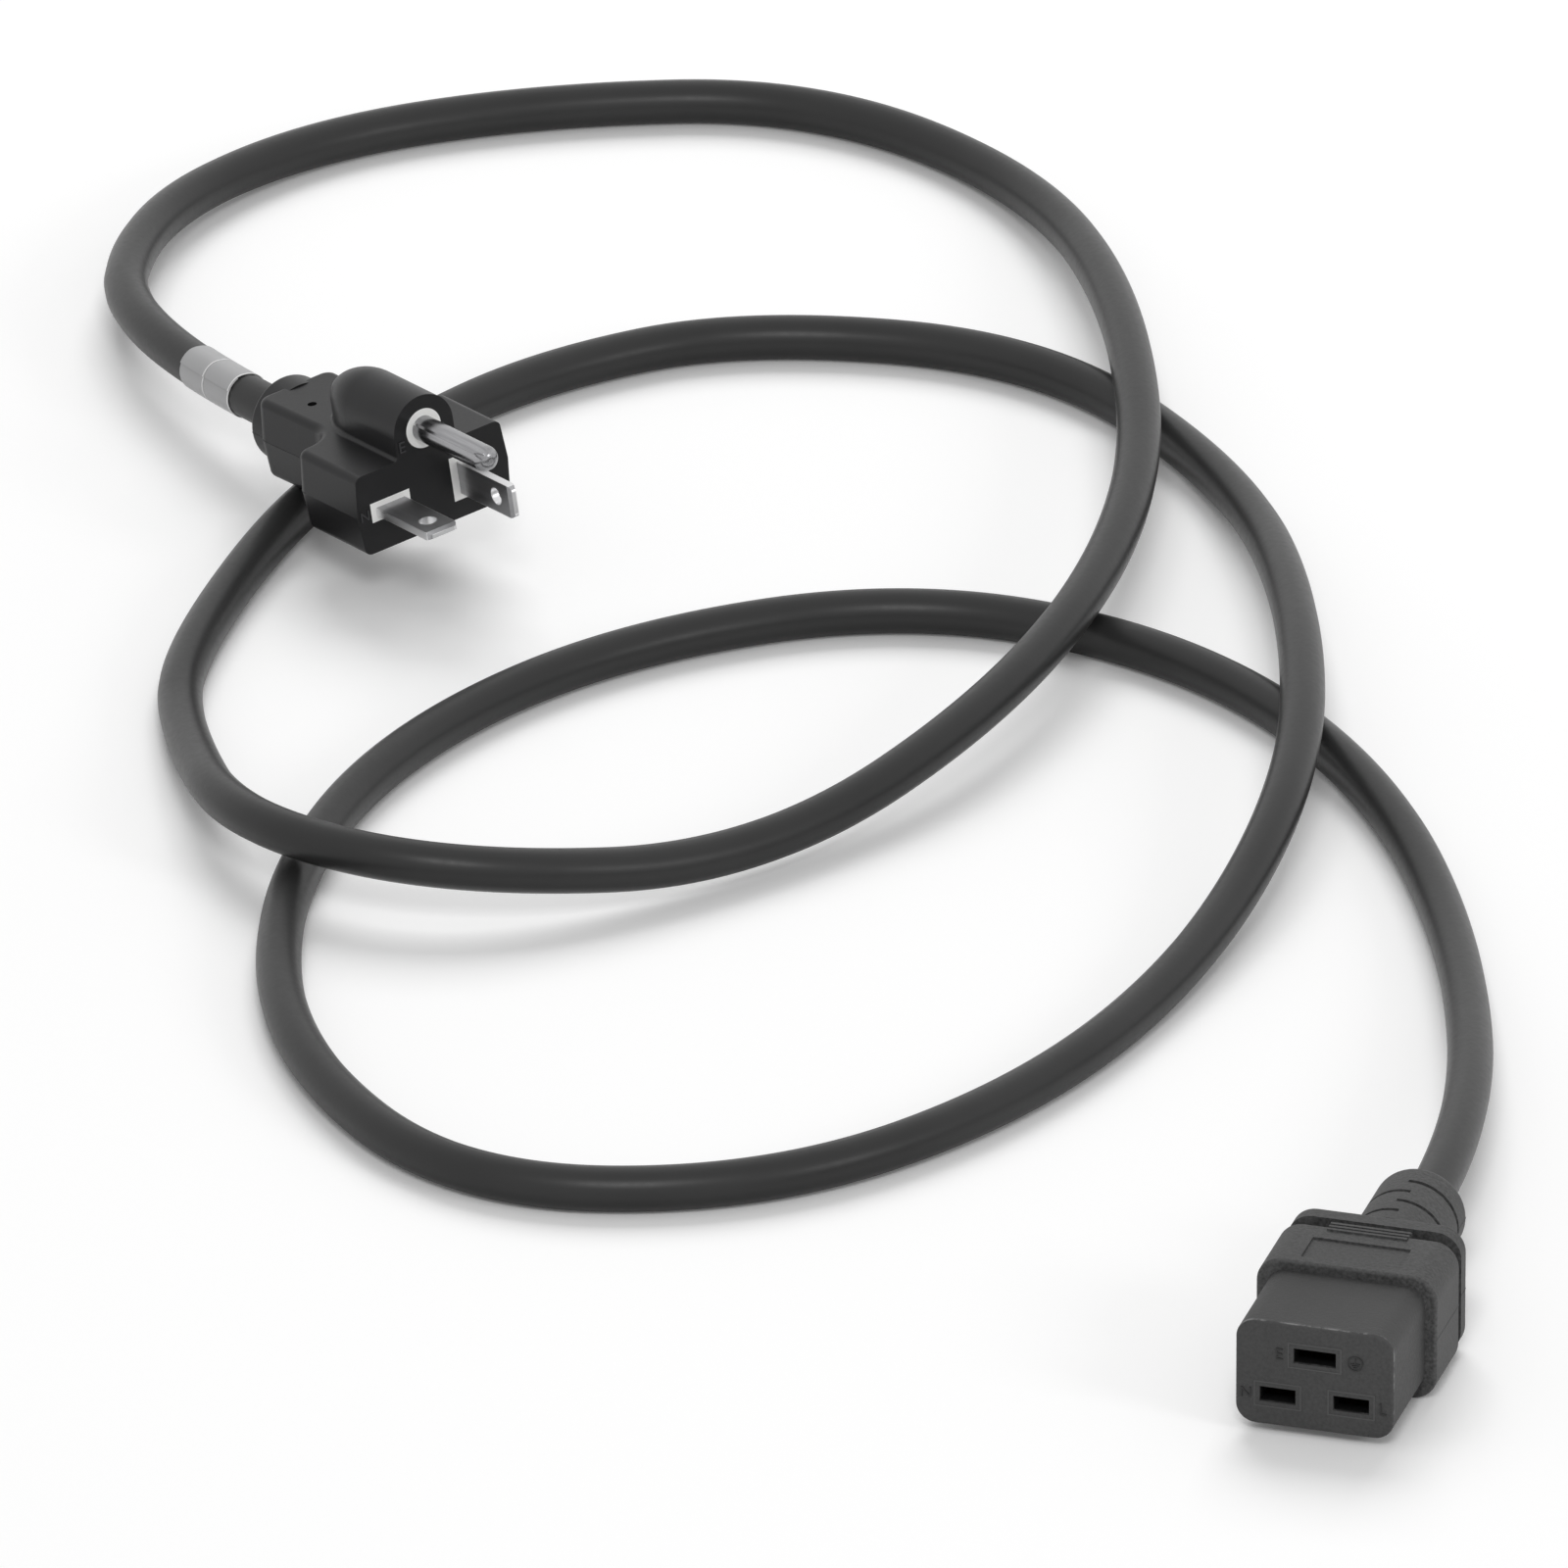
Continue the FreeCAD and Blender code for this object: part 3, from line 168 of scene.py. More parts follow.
def moulded(name, dark, pale, roughness, grain, relief, gloss=0.5, speck=0.0, changed=None):
    """Moulded plastic: two close shades in soft patches, and the fine grain of its mould.

    The grain and its relief are in millimetres; gloss is the strength of the surface's reflection.
    Speck is how much the colour varies with the grain. What changed(tree, place, shade) gives
    back is the colour in the end.
    """
    material, tree, shader = new_material(name, IOR=1.53, Specular_IOR_Level=gloss)
    place = add_node(tree, "ShaderNodeTexCoord").outputs["Object"]
    patches = add_node(tree, "ShaderNodeTexNoise", {
        "Vector": place, "Scale": 1.0 / (PATCH_SIZE * MM), "Detail": 4.0, "Roughness": 0.6})
    shade = two_shades(tree, patches, 0.15, dark, pale)
    grit = add_node(tree, "ShaderNodeTexNoise", {
        "Vector": place, "Scale": 1.0 / (grain * MM), "Detail": 3.0, "Roughness": 0.55})
    if speck:
        level = add_node(tree, "ShaderNodeMapRange", {
            "Value": grit.outputs["Fac"], "From Min": 0.3, "From Max": 0.7,
            "To Min": 1.0 - speck, "To Max": 1.0 + speck})
        shade = add_node(tree, "ShaderNodeVectorMath", {
            0: shade, "Scale": level.outputs["Result"]}, operation="SCALE").outputs["Vector"]
    if changed:
        shade = changed(tree, place, shade)
    tree.links.new(shade, shader.inputs["Base Color"])
    smooth, rough = roughness
    dull = add_node(tree, "ShaderNodeMapRange", {
        "Value": grit.outputs["Fac"], "From Min": 0.3, "From Max": 0.7,
        "To Min": smooth, "To Max": rough})
    tree.links.new(dull.outputs["Result"], shader.inputs["Roughness"])
    bump = add_node(tree, "ShaderNodeBump", {
        "Height": grit.outputs["Fac"], "Distance": relief * MM, "Strength": 1.0})
    tree.links.new(bump.outputs["Normal"], shader.inputs["Normal"])
    return material


# How fast the streaks change along the metal against across it, and how deep they are
STREAK_STRETCH = 0.06
STREAK_RELIEF = 0.004


def drawn(name, dark, pale, roughness, face, streak=0.9, changed=None):
    """Metal drawn or rolled along a face frame's outward axis, with long streaks that way.

    The streaks' width is in millimetres. What changed(tree, place, shade) gives back, with the
    place in that frame, is the colour in the end.
    """
    material, tree, shader = new_material(name, Metallic=1.0)
    place = add_node(tree, "ShaderNodeTexCoord").outputs["Object"]
    turned = add_node(tree, "ShaderNodeMapping", {
        "Vector": place, "Location": tuple(face.to_translation()),
        "Rotation": tuple(face.to_quaternion().to_euler("XYZ"))}, vector_type="TEXTURE")
    parts = add_node(tree, "ShaderNodeSeparateXYZ", {"Vector": turned.outputs["Vector"]})
    along = add_node(tree, "ShaderNodeMath", {0: parts.outputs["Z"], 1: STREAK_STRETCH},
                     operation="MULTIPLY")
    drawn_out = add_node(tree, "ShaderNodeCombineXYZ", {
        "X": parts.outputs["X"], "Y": parts.outputs["Y"], "Z": along.outputs[0]})
    streaks = add_node(tree, "ShaderNodeTexNoise", {
        "Vector": drawn_out.outputs["Vector"], "Scale": 1.0 / (streak * MM), "Detail": 4.0,
        "Roughness": 0.6})
    shade = two_shades(tree, streaks, 0.12, dark, pale)
    if changed:
        shade = changed(tree, parts.outputs, shade)
    tree.links.new(shade, shader.inputs["Base Color"])
    smooth, rough = roughness
    gloss = add_node(tree, "ShaderNodeMapRange", {
        "Value": streaks.outputs["Fac"], "From Min": 0.3, "From Max": 0.7,
        "To Min": smooth, "To Max": rough})
    tree.links.new(gloss.outputs["Result"], shader.inputs["Roughness"])
    bump = add_node(tree, "ShaderNodeBump", {
        "Height": streaks.outputs["Fac"], "Distance": STREAK_RELIEF * MM, "Strength": 0.6})
    tree.links.new(bump.outputs["Normal"], shader.inputs["Normal"])
    return material


# Half sizes of the field on the insert's face that holds the slots
FIELD_ACROSS = 12.6
FIELD_UP = 8.0
# How far behind the face the painted shade on a wall of that field starts, and is black
DIM_FROM = 0.1
DIM_TO = 0.8
# How far behind the face the scuffs on its rounded rim reach, and how large they are
RIM_DEPTH = 1.2
SCUFF_SIZE = 2.5
# How hard the rim is rubbed, by the share of that depth
RUB_POINTS = ((0.12, 0.0), (0.32, 1.0), (0.55, 0.3))
RUB_MOST = 0.55


def worn_rim_and_slot_shade(tree, place, shade):
    """Pale scuffs on the rounded rim of the insert's face, and painted shade: black inside its
    slots.
    """
    parts = add_node(tree, "ShaderNodeSeparateXYZ", {"Vector": place})
    masks = []
    for axis, middle, reach in (("X", 0.0, FIELD_ACROSS), ("Z", AXIS_HEIGHT, FIELD_UP)):
        off = add_node(tree, "ShaderNodeMath", {0: parts.outputs[axis], 1: middle * MM},
                       operation="SUBTRACT")
        far = add_node(tree, "ShaderNodeMath", {0: off.outputs[0]}, operation="ABSOLUTE")
        masks.append(add_node(tree, "ShaderNodeMath", {0: far.outputs[0], 1: reach * MM},
                              operation="LESS_THAN").outputs[0])
    face = -CONNECTOR_LENGTH / 2
    masks.append(add_node(tree, "ShaderNodeMapRange", {
        "Value": parts.outputs["Y"], "From Min": (face + DIM_FROM) * MM,
        "From Max": (face + DIM_TO) * MM}).outputs["Result"])
    field = add_node(tree, "ShaderNodeMath", {0: masks[0], 1: masks[1]}, operation="MULTIPLY")
    deep = add_node(tree, "ShaderNodeMath", {0: field.outputs[0], 1: masks[2]},
                    operation="MULTIPLY")
    depth = add_node(tree, "ShaderNodeMapRange", {
        "Value": parts.outputs["Y"], "From Min": face * MM, "From Max": (face + RIM_DEPTH) * MM})
    band = add_node(tree, "ShaderNodeFloatCurve", {"Value": depth.outputs["Result"]})
    points = band.mapping.curves[0].points
    for at, level in RUB_POINTS:
        points.new(at, level)
    points[0].location = (0.0, 0.0)
    points[-1].location = (1.0, 0.0)
    band.mapping.update()
    scuffs = add_node(tree, "ShaderNodeTexNoise", {
        "Vector": place, "Scale": 1.0 / (SCUFF_SIZE * MM), "Detail": 3.0, "Roughness": 0.7})
    rubbed = add_node(tree, "ShaderNodeMapRange", {
        "Value": scuffs.outputs["Fac"], "From Min": 0.45, "From Max": 0.62,
        "To Max": RUB_MOST})
    worn = add_node(tree, "ShaderNodeMath", {
        0: band.outputs["Value"], 1: rubbed.outputs["Result"]}, operation="MULTIPLY")
    scuffed = add_node(tree, "ShaderNodeMix", {
        "Factor": worn.outputs[0], "A": shade, "B": linear("#9a9a9a")}, data_type="RGBA")
    # Painted shade: the walls inside the slots are coloured black, where little light reaches
    return add_node(tree, "ShaderNodeMix", {
        "Factor": deep.outputs[0], "A": scuffed.outputs["Result"], "B": linear("#040404")},
        data_type="RGBA").outputs["Result"]


# How far in from a blade's cut sides, its tip and its hole the bare metal and its painted
# highlight show
SIDE_BAND = 0.12
TIP_BAND = 0.15
HOLE_BAND = 0.15


def sheared_and_glinting(middle, across):
    """What changes a blade's colour: its cut edges and the wall of its hole are bare, painted near
    white as a painted highlight.

    The blade's middle is this far along the named axis of the plug's face.
    """
    def changed(tree, place, shade):
        """The shade with the bare metal and its painted highlight over it, by the place in the
        plug's frame.
        """
        off = add_node(tree, "ShaderNodeMath", {0: place[across], 1: middle * MM},
                       operation="SUBTRACT")
        far = add_node(tree, "ShaderNodeMath", {0: off.outputs[0]}, operation="ABSOLUTE")
        side = add_node(tree, "ShaderNodeMath", {
            0: far.outputs[0], 1: (BLADE_WIDTH / 2 - SIDE_BAND) * MM}, operation="GREATER_THAN")
        tip = add_node(tree, "ShaderNodeMath", {
            0: place["Z"], 1: (BLADE_LENGTH - TIP_BAND) * MM}, operation="GREATER_THAN")
        along = add_node(tree, "ShaderNodeMath", {0: place["Z"], 1: HOLE_STATION * MM},
                         operation="SUBTRACT")
        flat = add_node(tree, "ShaderNodeCombineXYZ", {
            "X": off.outputs[0], "Y": along.outputs[0]})
        reach = add_node(tree, "ShaderNodeVectorMath", {0: flat.outputs["Vector"]},
                         operation="LENGTH")
        wall = add_node(tree, "ShaderNodeMath", {
            0: reach.outputs["Value"], 1: (BLADE_HOLE / 2 + HOLE_BAND) * MM},
            operation="LESS_THAN")
        ends = add_node(tree, "ShaderNodeMath", {0: side.outputs[0], 1: tip.outputs[0]},
                        operation="MAXIMUM")
        bare = add_node(tree, "ShaderNodeMath", {0: ends.outputs[0], 1: wall.outputs[0]},
                        operation="MAXIMUM")
        # Painted highlight: the bare edges are coloured near white, for the light that they catch
        return add_node(tree, "ShaderNodeMix", {
            "Factor": bare.outputs[0], "A": shade, "B": linear("#e2e2e3")},
            data_type="RGBA").outputs["Result"]

    return changed


# Polished mould: near black, hardly any grain, soft broad highlights on the boss and edges
PLUG_PVC = moulded("Moulded satin PVC", "#1b1b1c", "#202021", roughness=(0.33, 0.38),
                   grain=0.5, relief=0.006, gloss=0.22)
# Eroded mould: matt dark grey, and its grain sparkles a little in the light. The grain is
# nearer 0.2 mm, and drawn coarser so that it shows
CONNECTOR_PVC = moulded("Moulded grained PVC", "#434343", "#4a4a4a", roughness=(0.5, 0.75),
                        grain=0.6, relief=0.12, gloss=0.3, speck=0.45)
# The hard insert came out of the same kind of mould: as matt, and painted shade makes its slots
# black
INSERT_PLASTIC = moulded("Moulded grained nylon", "#3b3b3b", "#414141", roughness=(0.5, 0.72),
                         grain=0.6, relief=0.08, gloss=0.3, speck=0.22, changed=worn_rim_and_slot_shade)
# Smooth letters and symbol, painted darker than the grained face: painted shade on the raised
# marks
INSERT_MARKS = moulded("Smooth nylon letters", "#2b2b2b", "#303030", roughness=(0.4, 0.5),
                       grain=0.5, relief=0.01, gloss=0.3)
# The low lines round the slots are a trace paler than the face
INSERT_LINES = moulded("Paler nylon lines", "#4a4a4a", "#505050", roughness=(0.5, 0.6),
                       grain=0.5, relief=0.02, gloss=0.3)
# Raised letters in the plug's own PVC, painted a little paler than its face: a painted highlight
PLUG_MARKS = moulded("Smooth PVC letters", "#38383a", "#3d3d3e", roughness=(0.35, 0.42),
                     grain=0.5, relief=0.006, gloss=0.3)
# Extruded jacket: satin, one long soft highlight
JACKET_PVC = moulded("Extruded satin PVC", "#2a2a2a", "#2f2f2f", roughness=(0.34, 0.40),
                     grain=1.2, relief=0.012, gloss=0.25)
# Bright bridge behind the pins, smooth and clean
WHITE_NYLON = moulded("Moulded white nylon", "#f2f2f0", "#f7f7f5", roughness=(0.35, 0.42),
                      grain=0.4, relief=0.004)
# Plain silver-grey label film, calendered smooth, with a soft sheen
LABEL_FILM = moulded("Calendered polyester film", "#a2a2a3", "#a9a9aa", roughness=(0.30, 0.38),
                     grain=0.5, relief=0.002)
# Cut edge of the film, white where its silver coat ends
LABEL_EDGE = moulded("Cut polyester film edge", "#e4e4e4", "#ececec", roughness=(0.4, 0.5),
                     grain=0.5, relief=0.002)
# Insulation of the three cores, plain and dull; it is out of sight inside the two ends
BLACK_CORE = moulded("Extruded black core PVC", "#161616", "#1a1a1a", roughness=(0.4, 0.5),
                     grain=0.6, relief=0.01)
WHITE_CORE = moulded("Extruded white core PVC", "#dcdcd8", "#e4e4e0", roughness=(0.4, 0.5),
                     grain=0.6, relief=0.01)
GREEN_CORE = moulded("Extruded green core PVC", "#1d6b35", "#23753c", roughness=(0.4, 0.5),
                     grain=0.6, relief=0.01)
# Bright plating over a rolled pin: mirror-like, with long fine streaks
NICKEL = drawn("Nickel-plated rolled brass", "#8c8c8e", "#a0a0a2", roughness=(0.17, 0.24),
               face=IN_PLUG)
# The same plating on stamped strip, which its tool left satin: the blades are an even grey
LINE_NICKEL = drawn("Nickel-plated stamped brass", "#a2a2a4", "#aeaeb0", roughness=(0.3, 0.36),
                    face=IN_PLUG, streak=1.6, changed=sheared_and_glinting(0.0, "Y"))
NEUTRAL_NICKEL = drawn("Nickel-plated stamped brass, flat blade", "#a2a2a4", "#aeaeb0",
                       roughness=(0.3, 0.36), face=IN_PLUG, streak=1.6,
                       changed=sheared_and_glinting(NEUTRAL_ACROSS, "X"))
# Tarnished spring sheet in the slots, darker than its tarnish as painted shade: the slots read
# black
BRONZE = drawn("Tarnished bronze sheet in painted shade", "#241d14", "#33291c", roughness=(0.45, 0.6),
               face=IN_CONNECTOR)
# Bare strands in the crimps, warm and streaked by the drawing die; out of sight as well
COPPER = drawn("Bare drawn copper", "#b06a45", "#c47a52", roughness=(0.32, 0.45), face=IN_PLUG)

FINISHES = {
    "plug_pvc": PLUG_PVC, "connector_pvc": CONNECTOR_PVC, "connector_insert": INSERT_PLASTIC,
    "cord_jacket": JACKET_PVC, "white_plastic": WHITE_NYLON, "label_film": LABEL_FILM,
    "nickel": NICKEL, "bronze": BRONZE, "copper": COPPER, "core_black": BLACK_CORE,
    "core_white": WHITE_CORE, "core_green": GREEN_CORE}
BLADES = {"plug_line_blade": LINE_NICKEL, "plug_neutral_blade": NEUTRAL_NICKEL}
SLOT_OF_NODE = {part["node"]: part["material_slot"] for part in frame["record"]["subparts"]}
for name, node in NODES.items():
    for slot in node.material_slots:
        slot.material = BLADES.get(name, FINISHES[SLOT_OF_NODE[name]])


# The cord

# Heights of the route's points, in millimetres: along the floor, and over a strand below
LOW = 4.1
HIGH = 13.0
# How much the last point of the spiral is lifted on its way up to the plug
LAST_LIFT = 2.4


def cord_points():
    """The route's points, as in the source: along the floor, over itself and up to the plug."""
    flat = [
        (0, CONNECTOR_LENGTH / 2, AXIS_HEIGHT), (0, 68, AXIS_HEIGHT), (-24, 147, LOW),
        (-56, 207, LOW), (-100, 247, LOW), (-155, 256, LOW), (-203, 221, LOW), (-228, 168, LOW),
        (-229, 108, LOW), (-209, 50, LOW), (-166, 9, LOW), (-114, 23, LOW), (-81, 69, LOW),
        (-67, 129, LOW), (-65, 188, HIGH), (-83, 252, HIGH), (-113, 317, LOW), (-160, 359, LOW),
        (-216, 354, LOW), (-247, 326, LOW), (-264, 290, LOW), (-273, 254, LOW), (-273, 194, LOW),
        (-264, 166, LOW), (-239, 117, HIGH), (-196, 108, HIGH), (-151, 145, LOW),
        (-122, 208, HIGH), (-122, 287, HIGH), (-146, 361, HIGH), (-182, 427, LOW),
        (-232, 452, LOW), (-281, 434, LOW), (-317, 406, LOW), (-333, 362, LOW + LAST_LIFT)]
    behind = [IN_PLUG @ Vector((0.0, 0.0, -PLUG_LENGTH - LAST_RUN)),
              IN_PLUG @ Vector((0.0, 0.0, -PLUG_LENGTH))]
    return [Vector(point) * MM for point in flat] + behind


def new_cord(name, radius):
    """A round NURBS curve through the route; with no radius it is the bare line."""
    curve = bpy.data.curves.new(name, "CURVE")
    curve.dimensions = "3D"
    curve.resolution_u = 28
    curve.bevel_depth = radius
    curve.bevel_resolution = 6
    curve.use_fill_caps = radius > 0
    spline = curve.splines.new("NURBS")
    points = cord_points()
    spline.points.add(len(points) - 1)
    for control, point in zip(spline.points, points):
        control.co = (*point, 1.0)
    spline.use_endpoint_u = True
    spline.order_u = 3
    made = bpy.data.objects.new(name, curve)
    bpy.context.scene.collection.objects.link(made)
    return made


cord = new_cord("cord_jacket", CORD_DIAMETER / 2 * MM)
cord.data.materials.append(JACKET_PVC)


# Geometry Nodes: a piece grown from a line

SHARP_ANGLE = 35.0


def new_tree(name, sizes):
    """An empty tree with a geometry in and out and the named sizes; also the sizes' outputs."""
    tree = bpy.data.node_groups.new(name, "GeometryNodeTree")
    tree.interface.new_socket("Geometry", in_out="INPUT", socket_type="NodeSocketGeometry")
    for size in sizes:
        tree.interface.new_socket(size, in_out="INPUT", socket_type="NodeSocketFloat")
    tree.interface.new_socket("Geometry", in_out="OUTPUT", socket_type="NodeSocketGeometry")
    return tree, add_node(tree, "NodeGroupInput").outputs


def close_tree(tree, geometry, material):
    """The end of a tree: real geometry with its material."""
    real = add_node(tree, "GeometryNodeRealizeInstances", {"Geometry": geometry})
    painted = add_node(tree, "GeometryNodeSetMaterial", {
        "Geometry": real.outputs["Geometry"], "Material": material})
    add_node(tree, "NodeGroupOutput", {"Geometry": painted.outputs["Geometry"]})


def finished(name, mesh):
    """The object of a finished mesh, smooth but for its sharp edges."""
    mesh.shade_smooth()
    mesh.set_sharp_from_angle(angle=math.radians(SHARP_ANGLE))
    made = bpy.data.objects.new(name, mesh)
    bpy.context.scene.collection.objects.link(made)
    return made


def grown(name, source, tree, **sizes):
    """The plain mesh object that the tree makes of the source object, which is then removed."""
    modifier = source.modifiers.new("grow", "NODES")
    modifier.node_group = tree
    for item in tree.interface.items_tree:
        if item.in_out == "INPUT" and item.name in sizes:
            modifier[item.identifier] = sizes[item.name]
    evaluated = source.evaluated_get(bpy.context.evaluated_depsgraph_get())
    mesh = bpy.data.meshes.new_from_object(evaluated)
    bpy.data.objects.remove(source)
    return finished(name, mesh)


# Wrap labels: a film round the cord that ends on top of its own start

LABEL_START = 13.4
LABEL_LENGTH = 8.5
LABEL_GAP = 0.2
LABEL_CLEARANCE = 0.05
EDGE_WIDTH = 0.32
FILM = 0.14
FILM_SPARE = 0.08
# Angles round the cord: where the film starts, how far it overlaps, and where it climbs
FILM_TURN = 295.0
FILM_OVERLAP = 40.0
FILM_STEP = 5.0
CLIMB_START = 335.0
CLIMB_SPREAD = 25.0


def film_section():
    """Closed outline of the wrapped film across the cord; it overlaps itself past a full turn."""
    def radius(angle):
        """Inner radius: the film climbs on to its own start before its full turn is over."""
        climb = min(max((angle - CLIMB_START) / CLIMB_SPREAD, 0.0), 1.0)
        return CORD_DIAMETER / 2 + LABEL_CLEARANCE + (FILM + FILM_SPARE) * climb

    count = int((360.0 + FILM_OVERLAP) / FILM_STEP) + 1
    steps = [at * FILM_STEP for at in range(count)]
    ring = [(angle, radius(angle)) for angle in steps]
    ring += [(angle, radius(angle) + FILM) for angle in reversed(steps)]
    curve = bpy.data.curves.new("film_section", "CURVE")
    curve.dimensions = "3D"
    spline = curve.splines.new("POLY")
    spline.points.add(len(ring) - 1)
    for point, (angle, out) in zip(spline.points, ring):
        way = math.radians(angle + FILM_TURN)
        point.co = (out * math.cos(way) * MM, out * math.sin(way) * MM, 0.0, 1.0)
    spline.use_cyclic_u = True
    made = bpy.data.objects.new("film_section", curve)
    bpy.context.scene.collection.objects.link(made)
    return made


def film_tree(section, material):
    """Sweeps the section along the last part of the route, counted back from its far end."""
    tree, given = new_tree("Film on the cord", ["Behind", "Length"])
    total = add_node(tree, "GeometryNodeCurveLength", {"Curve": given["Geometry"]})
    end = add_node(tree, "ShaderNodeMath", {
        0: total.outputs["Length"], 1: given["Behind"]}, operation="SUBTRACT")
    start = add_node(tree, "ShaderNodeMath", {
        0: end.outputs[0], 1: given["Length"]}, operation="SUBTRACT")
    part = add_node(tree, "GeometryNodeTrimCurve", mode="LENGTH")
    tree.links.new(given["Geometry"], part.inputs["Curve"])
    # The trim has a second Start and End, by factor, which are off
    for socket, source in (("Start", start), ("End", end)):
        for target in part.inputs:
            if target.name == socket and target.enabled:
                tree.links.new(source.outputs[0], target)
    even = add_node(tree, "GeometryNodeResampleCurve", {
        "Curve": part.outputs["Curve"], "Count": 12})
    upright = add_node(tree, "GeometryNodeSetCurveNormal", {"Curve": even.outputs["Curve"]},
                       mode="Z_UP")
    outline = add_node(tree, "GeometryNodeObjectInfo", {"Object": section})
    film = add_node(tree, "GeometryNodeCurveToMesh", {
        "Curve": upright.outputs["Curve"], "Profile Curve": outline.outputs["Geometry"],
        "Fill Caps": True})
    close_tree(tree, film.outputs["Mesh"], material)
    return tree


section = film_section()
film = film_tree(section, LABEL_FILM)
film_edge = film_tree(section, LABEL_EDGE)
labels = []
for name, behind in (("label_front", LABEL_START),
                     ("label_rear", LABEL_START + LABEL_LENGTH + LABEL_GAP)):
    edge = grown(name + "_cut_edge", new_cord("route", 0.0), film_edge, Behind=behind * MM,
                 Length=EDGE_WIDTH * MM)
    band = grown(name + "_band", new_cord("route", 0.0), film,
                 Behind=(behind + EDGE_WIDTH) * MM, Length=(LABEL_LENGTH - EDGE_WIDTH) * MM)
    labels.append((name, band, edge))
bpy.data.objects.remove(section)


# Parting lines: where the halves of each mould met

PARTING_RADIUS = 0.07
# The room for the pins or the insert reaches this far out in the block, and behind it
BLOCK_REACH = 14.4
GRIP_REACH = 6.0


def parting_tree(material):
    """A thin round bead along the edges of a section."""
    tree, given = new_tree("Parting line", ["Radius"])
    line = add_node(tree, "GeometryNodeMeshToCurve", {"Mesh": given["Geometry"]})
    ring = add_node(tree, "GeometryNodeCurvePrimitiveCircle", {
        "Resolution": 8, "Radius": given["Radius"]})
    bead = add_node(tree, "GeometryNodeCurveToMesh", {
        "Curve": line.outputs["Curve"], "Profile Curve": ring.outputs["Curve"],
        "Fill Caps": True})
    close_tree(tree, bead.outputs["Mesh"], material)
    return tree


def outer_side(block_depth, front, rear):
    """What tells whether a point is on a moulding's outside, clear of its front and rear.

    The block's depth and the two ends are counted back from the face.
    """
    def wanted(point):
        """Whether the bead runs over this point of the section."""
        reach = BLOCK_REACH if point.z > -block_depth else GRIP_REACH
        return abs(point.x) > reach and -rear < point.z < -front

    return wanted


def parting_line(name, node, face, wanted, material):
    """A bead where the node's surface meets the level of its face's middle, where wanted."""
    work = bmesh.new()
    work.from_mesh(node.data)
    bmesh.ops.transform(work, matrix=face.inverted() @ node.matrix_world, verts=work.verts)
    bmesh.ops.remove_doubles(work, verts=work.verts, dist=0.001)
    cut = bmesh.ops.bisect_plane(
        work, geom=work.verts[:] + work.edges[:] + work.faces[:], dist=0.0001,
        plane_co=(0.0, 0.0, 0.0), plane_no=(0.0, 1.0, 0.0))
    edges = [item for item in cut["geom_cut"] if isinstance(item, bmesh.types.BMEdge)]
    kept = [edge for edge in edges if all(wanted(vert.co) for vert in edge.verts)]
    order = {}
    for edge in kept:
        for vert in edge.verts:
            order.setdefault(vert, len(order))
    mesh = bpy.data.meshes.new(name)
    mesh.from_pydata([face @ vert.co for vert in order],
                     [[order[vert] for vert in edge.verts] for edge in kept], [])
    work.free()
    source = bpy.data.objects.new(name + "_section", mesh)
    bpy.context.scene.collection.objects.link(source)
    return grown(name, source, parting_tree(material), Radius=PARTING_RADIUS * MM)


plug_parting = parting_line(
    "plug_parting_line", NODES["plug_body"], IN_PLUG,
    outer_side(block_depth=16.0, front=0.4, rear=46.3), PLUG_PVC)
connector_parting = parting_line(
    "connector_parting_line", NODES["connector_body"], IN_CONNECTOR,
    outer_side(block_depth=30.0, front=20.2, rear=67.2), CONNECTOR_PVC)


# Raised marks on the two faces

MARK_RISE = 0.18
# Each letter with its place across and up the face, and its height
PLUG_LETTERS = (("E", -5.0, 10.0, 2.1), ("N", -14.75, 0.0, 1.8))
CONNECTOR_LETTERS = (("E", -6.2, SLOT_RISE, 2.1), ("N", -12.1, -SLOT_RISE, 1.9),
                     ("L", 12.2, -SLOT_RISE, 2.1))
SYMBOL_ACROSS = 7.2
SYMBOL_RADIUS = 1.4
SYMBOL_LINE = 0.22
STEM_LOW = 0.05
STEM_HIGH = 0.95
# How far below the symbol's middle each bar lies, and half its length
BARS = ((0.05, 0.85), (0.42, 0.58), (0.79, 0.3))
HALF_BAR = 0.09
RING_STEPS = 48
FRAME_MARGIN = 1.0
FRAME_LINE = 0.22
FRAME_RISE = 0.06


def letter_mesh(text, height):
    """One raised letter as a mesh about its middle, of this height in millimetres."""
    curve = bpy.data.curves.new("letter", "FONT")
    curve.body = text
    # Any thickness, because the front and the back get their level below
    curve.extrude = 0.05
    source = bpy.data.objects.new("letter", curve)
    bpy.context.scene.collection.objects.link(source)
    bpy.context.view_layer.update()
    mesh = bpy.data.meshes.new_from_object(
        source.evaluated_get(bpy.context.evaluated_depsgraph_get()))
    bpy.data.objects.remove(source)
    xs = [vert.co.x for vert in mesh.vertices]
    ys = [vert.co.y for vert in mesh.vertices]
    scale = height / (max(ys) - min(ys))
    middle = Vector(((min(xs) + max(xs)) / 2, (min(ys) + max(ys)) / 2, 0.0))
    for vert in mesh.vertices:
        rise = MARK_RISE if vert.co.z > 0 else -MARK_RISE
        vert.co = ((vert.co.x - middle.x) * scale, (vert.co.y - middle.y) * scale, rise)
    return mesh


def add_bar(work, x0, y0, x1, y1, rise):
    """A flat raised bar between two corners."""
    made = bmesh.ops.create_cube(work, size=1.0)
    place = Matrix.Translation(((x0 + x1) / 2, (y0 + y1) / 2, 0.0)) @ Matrix.Diagonal(
        (abs(x1 - x0), abs(y1 - y0), 2 * rise, 1.0))
    bmesh.ops.transform(work, matrix=place, verts=made["verts"])


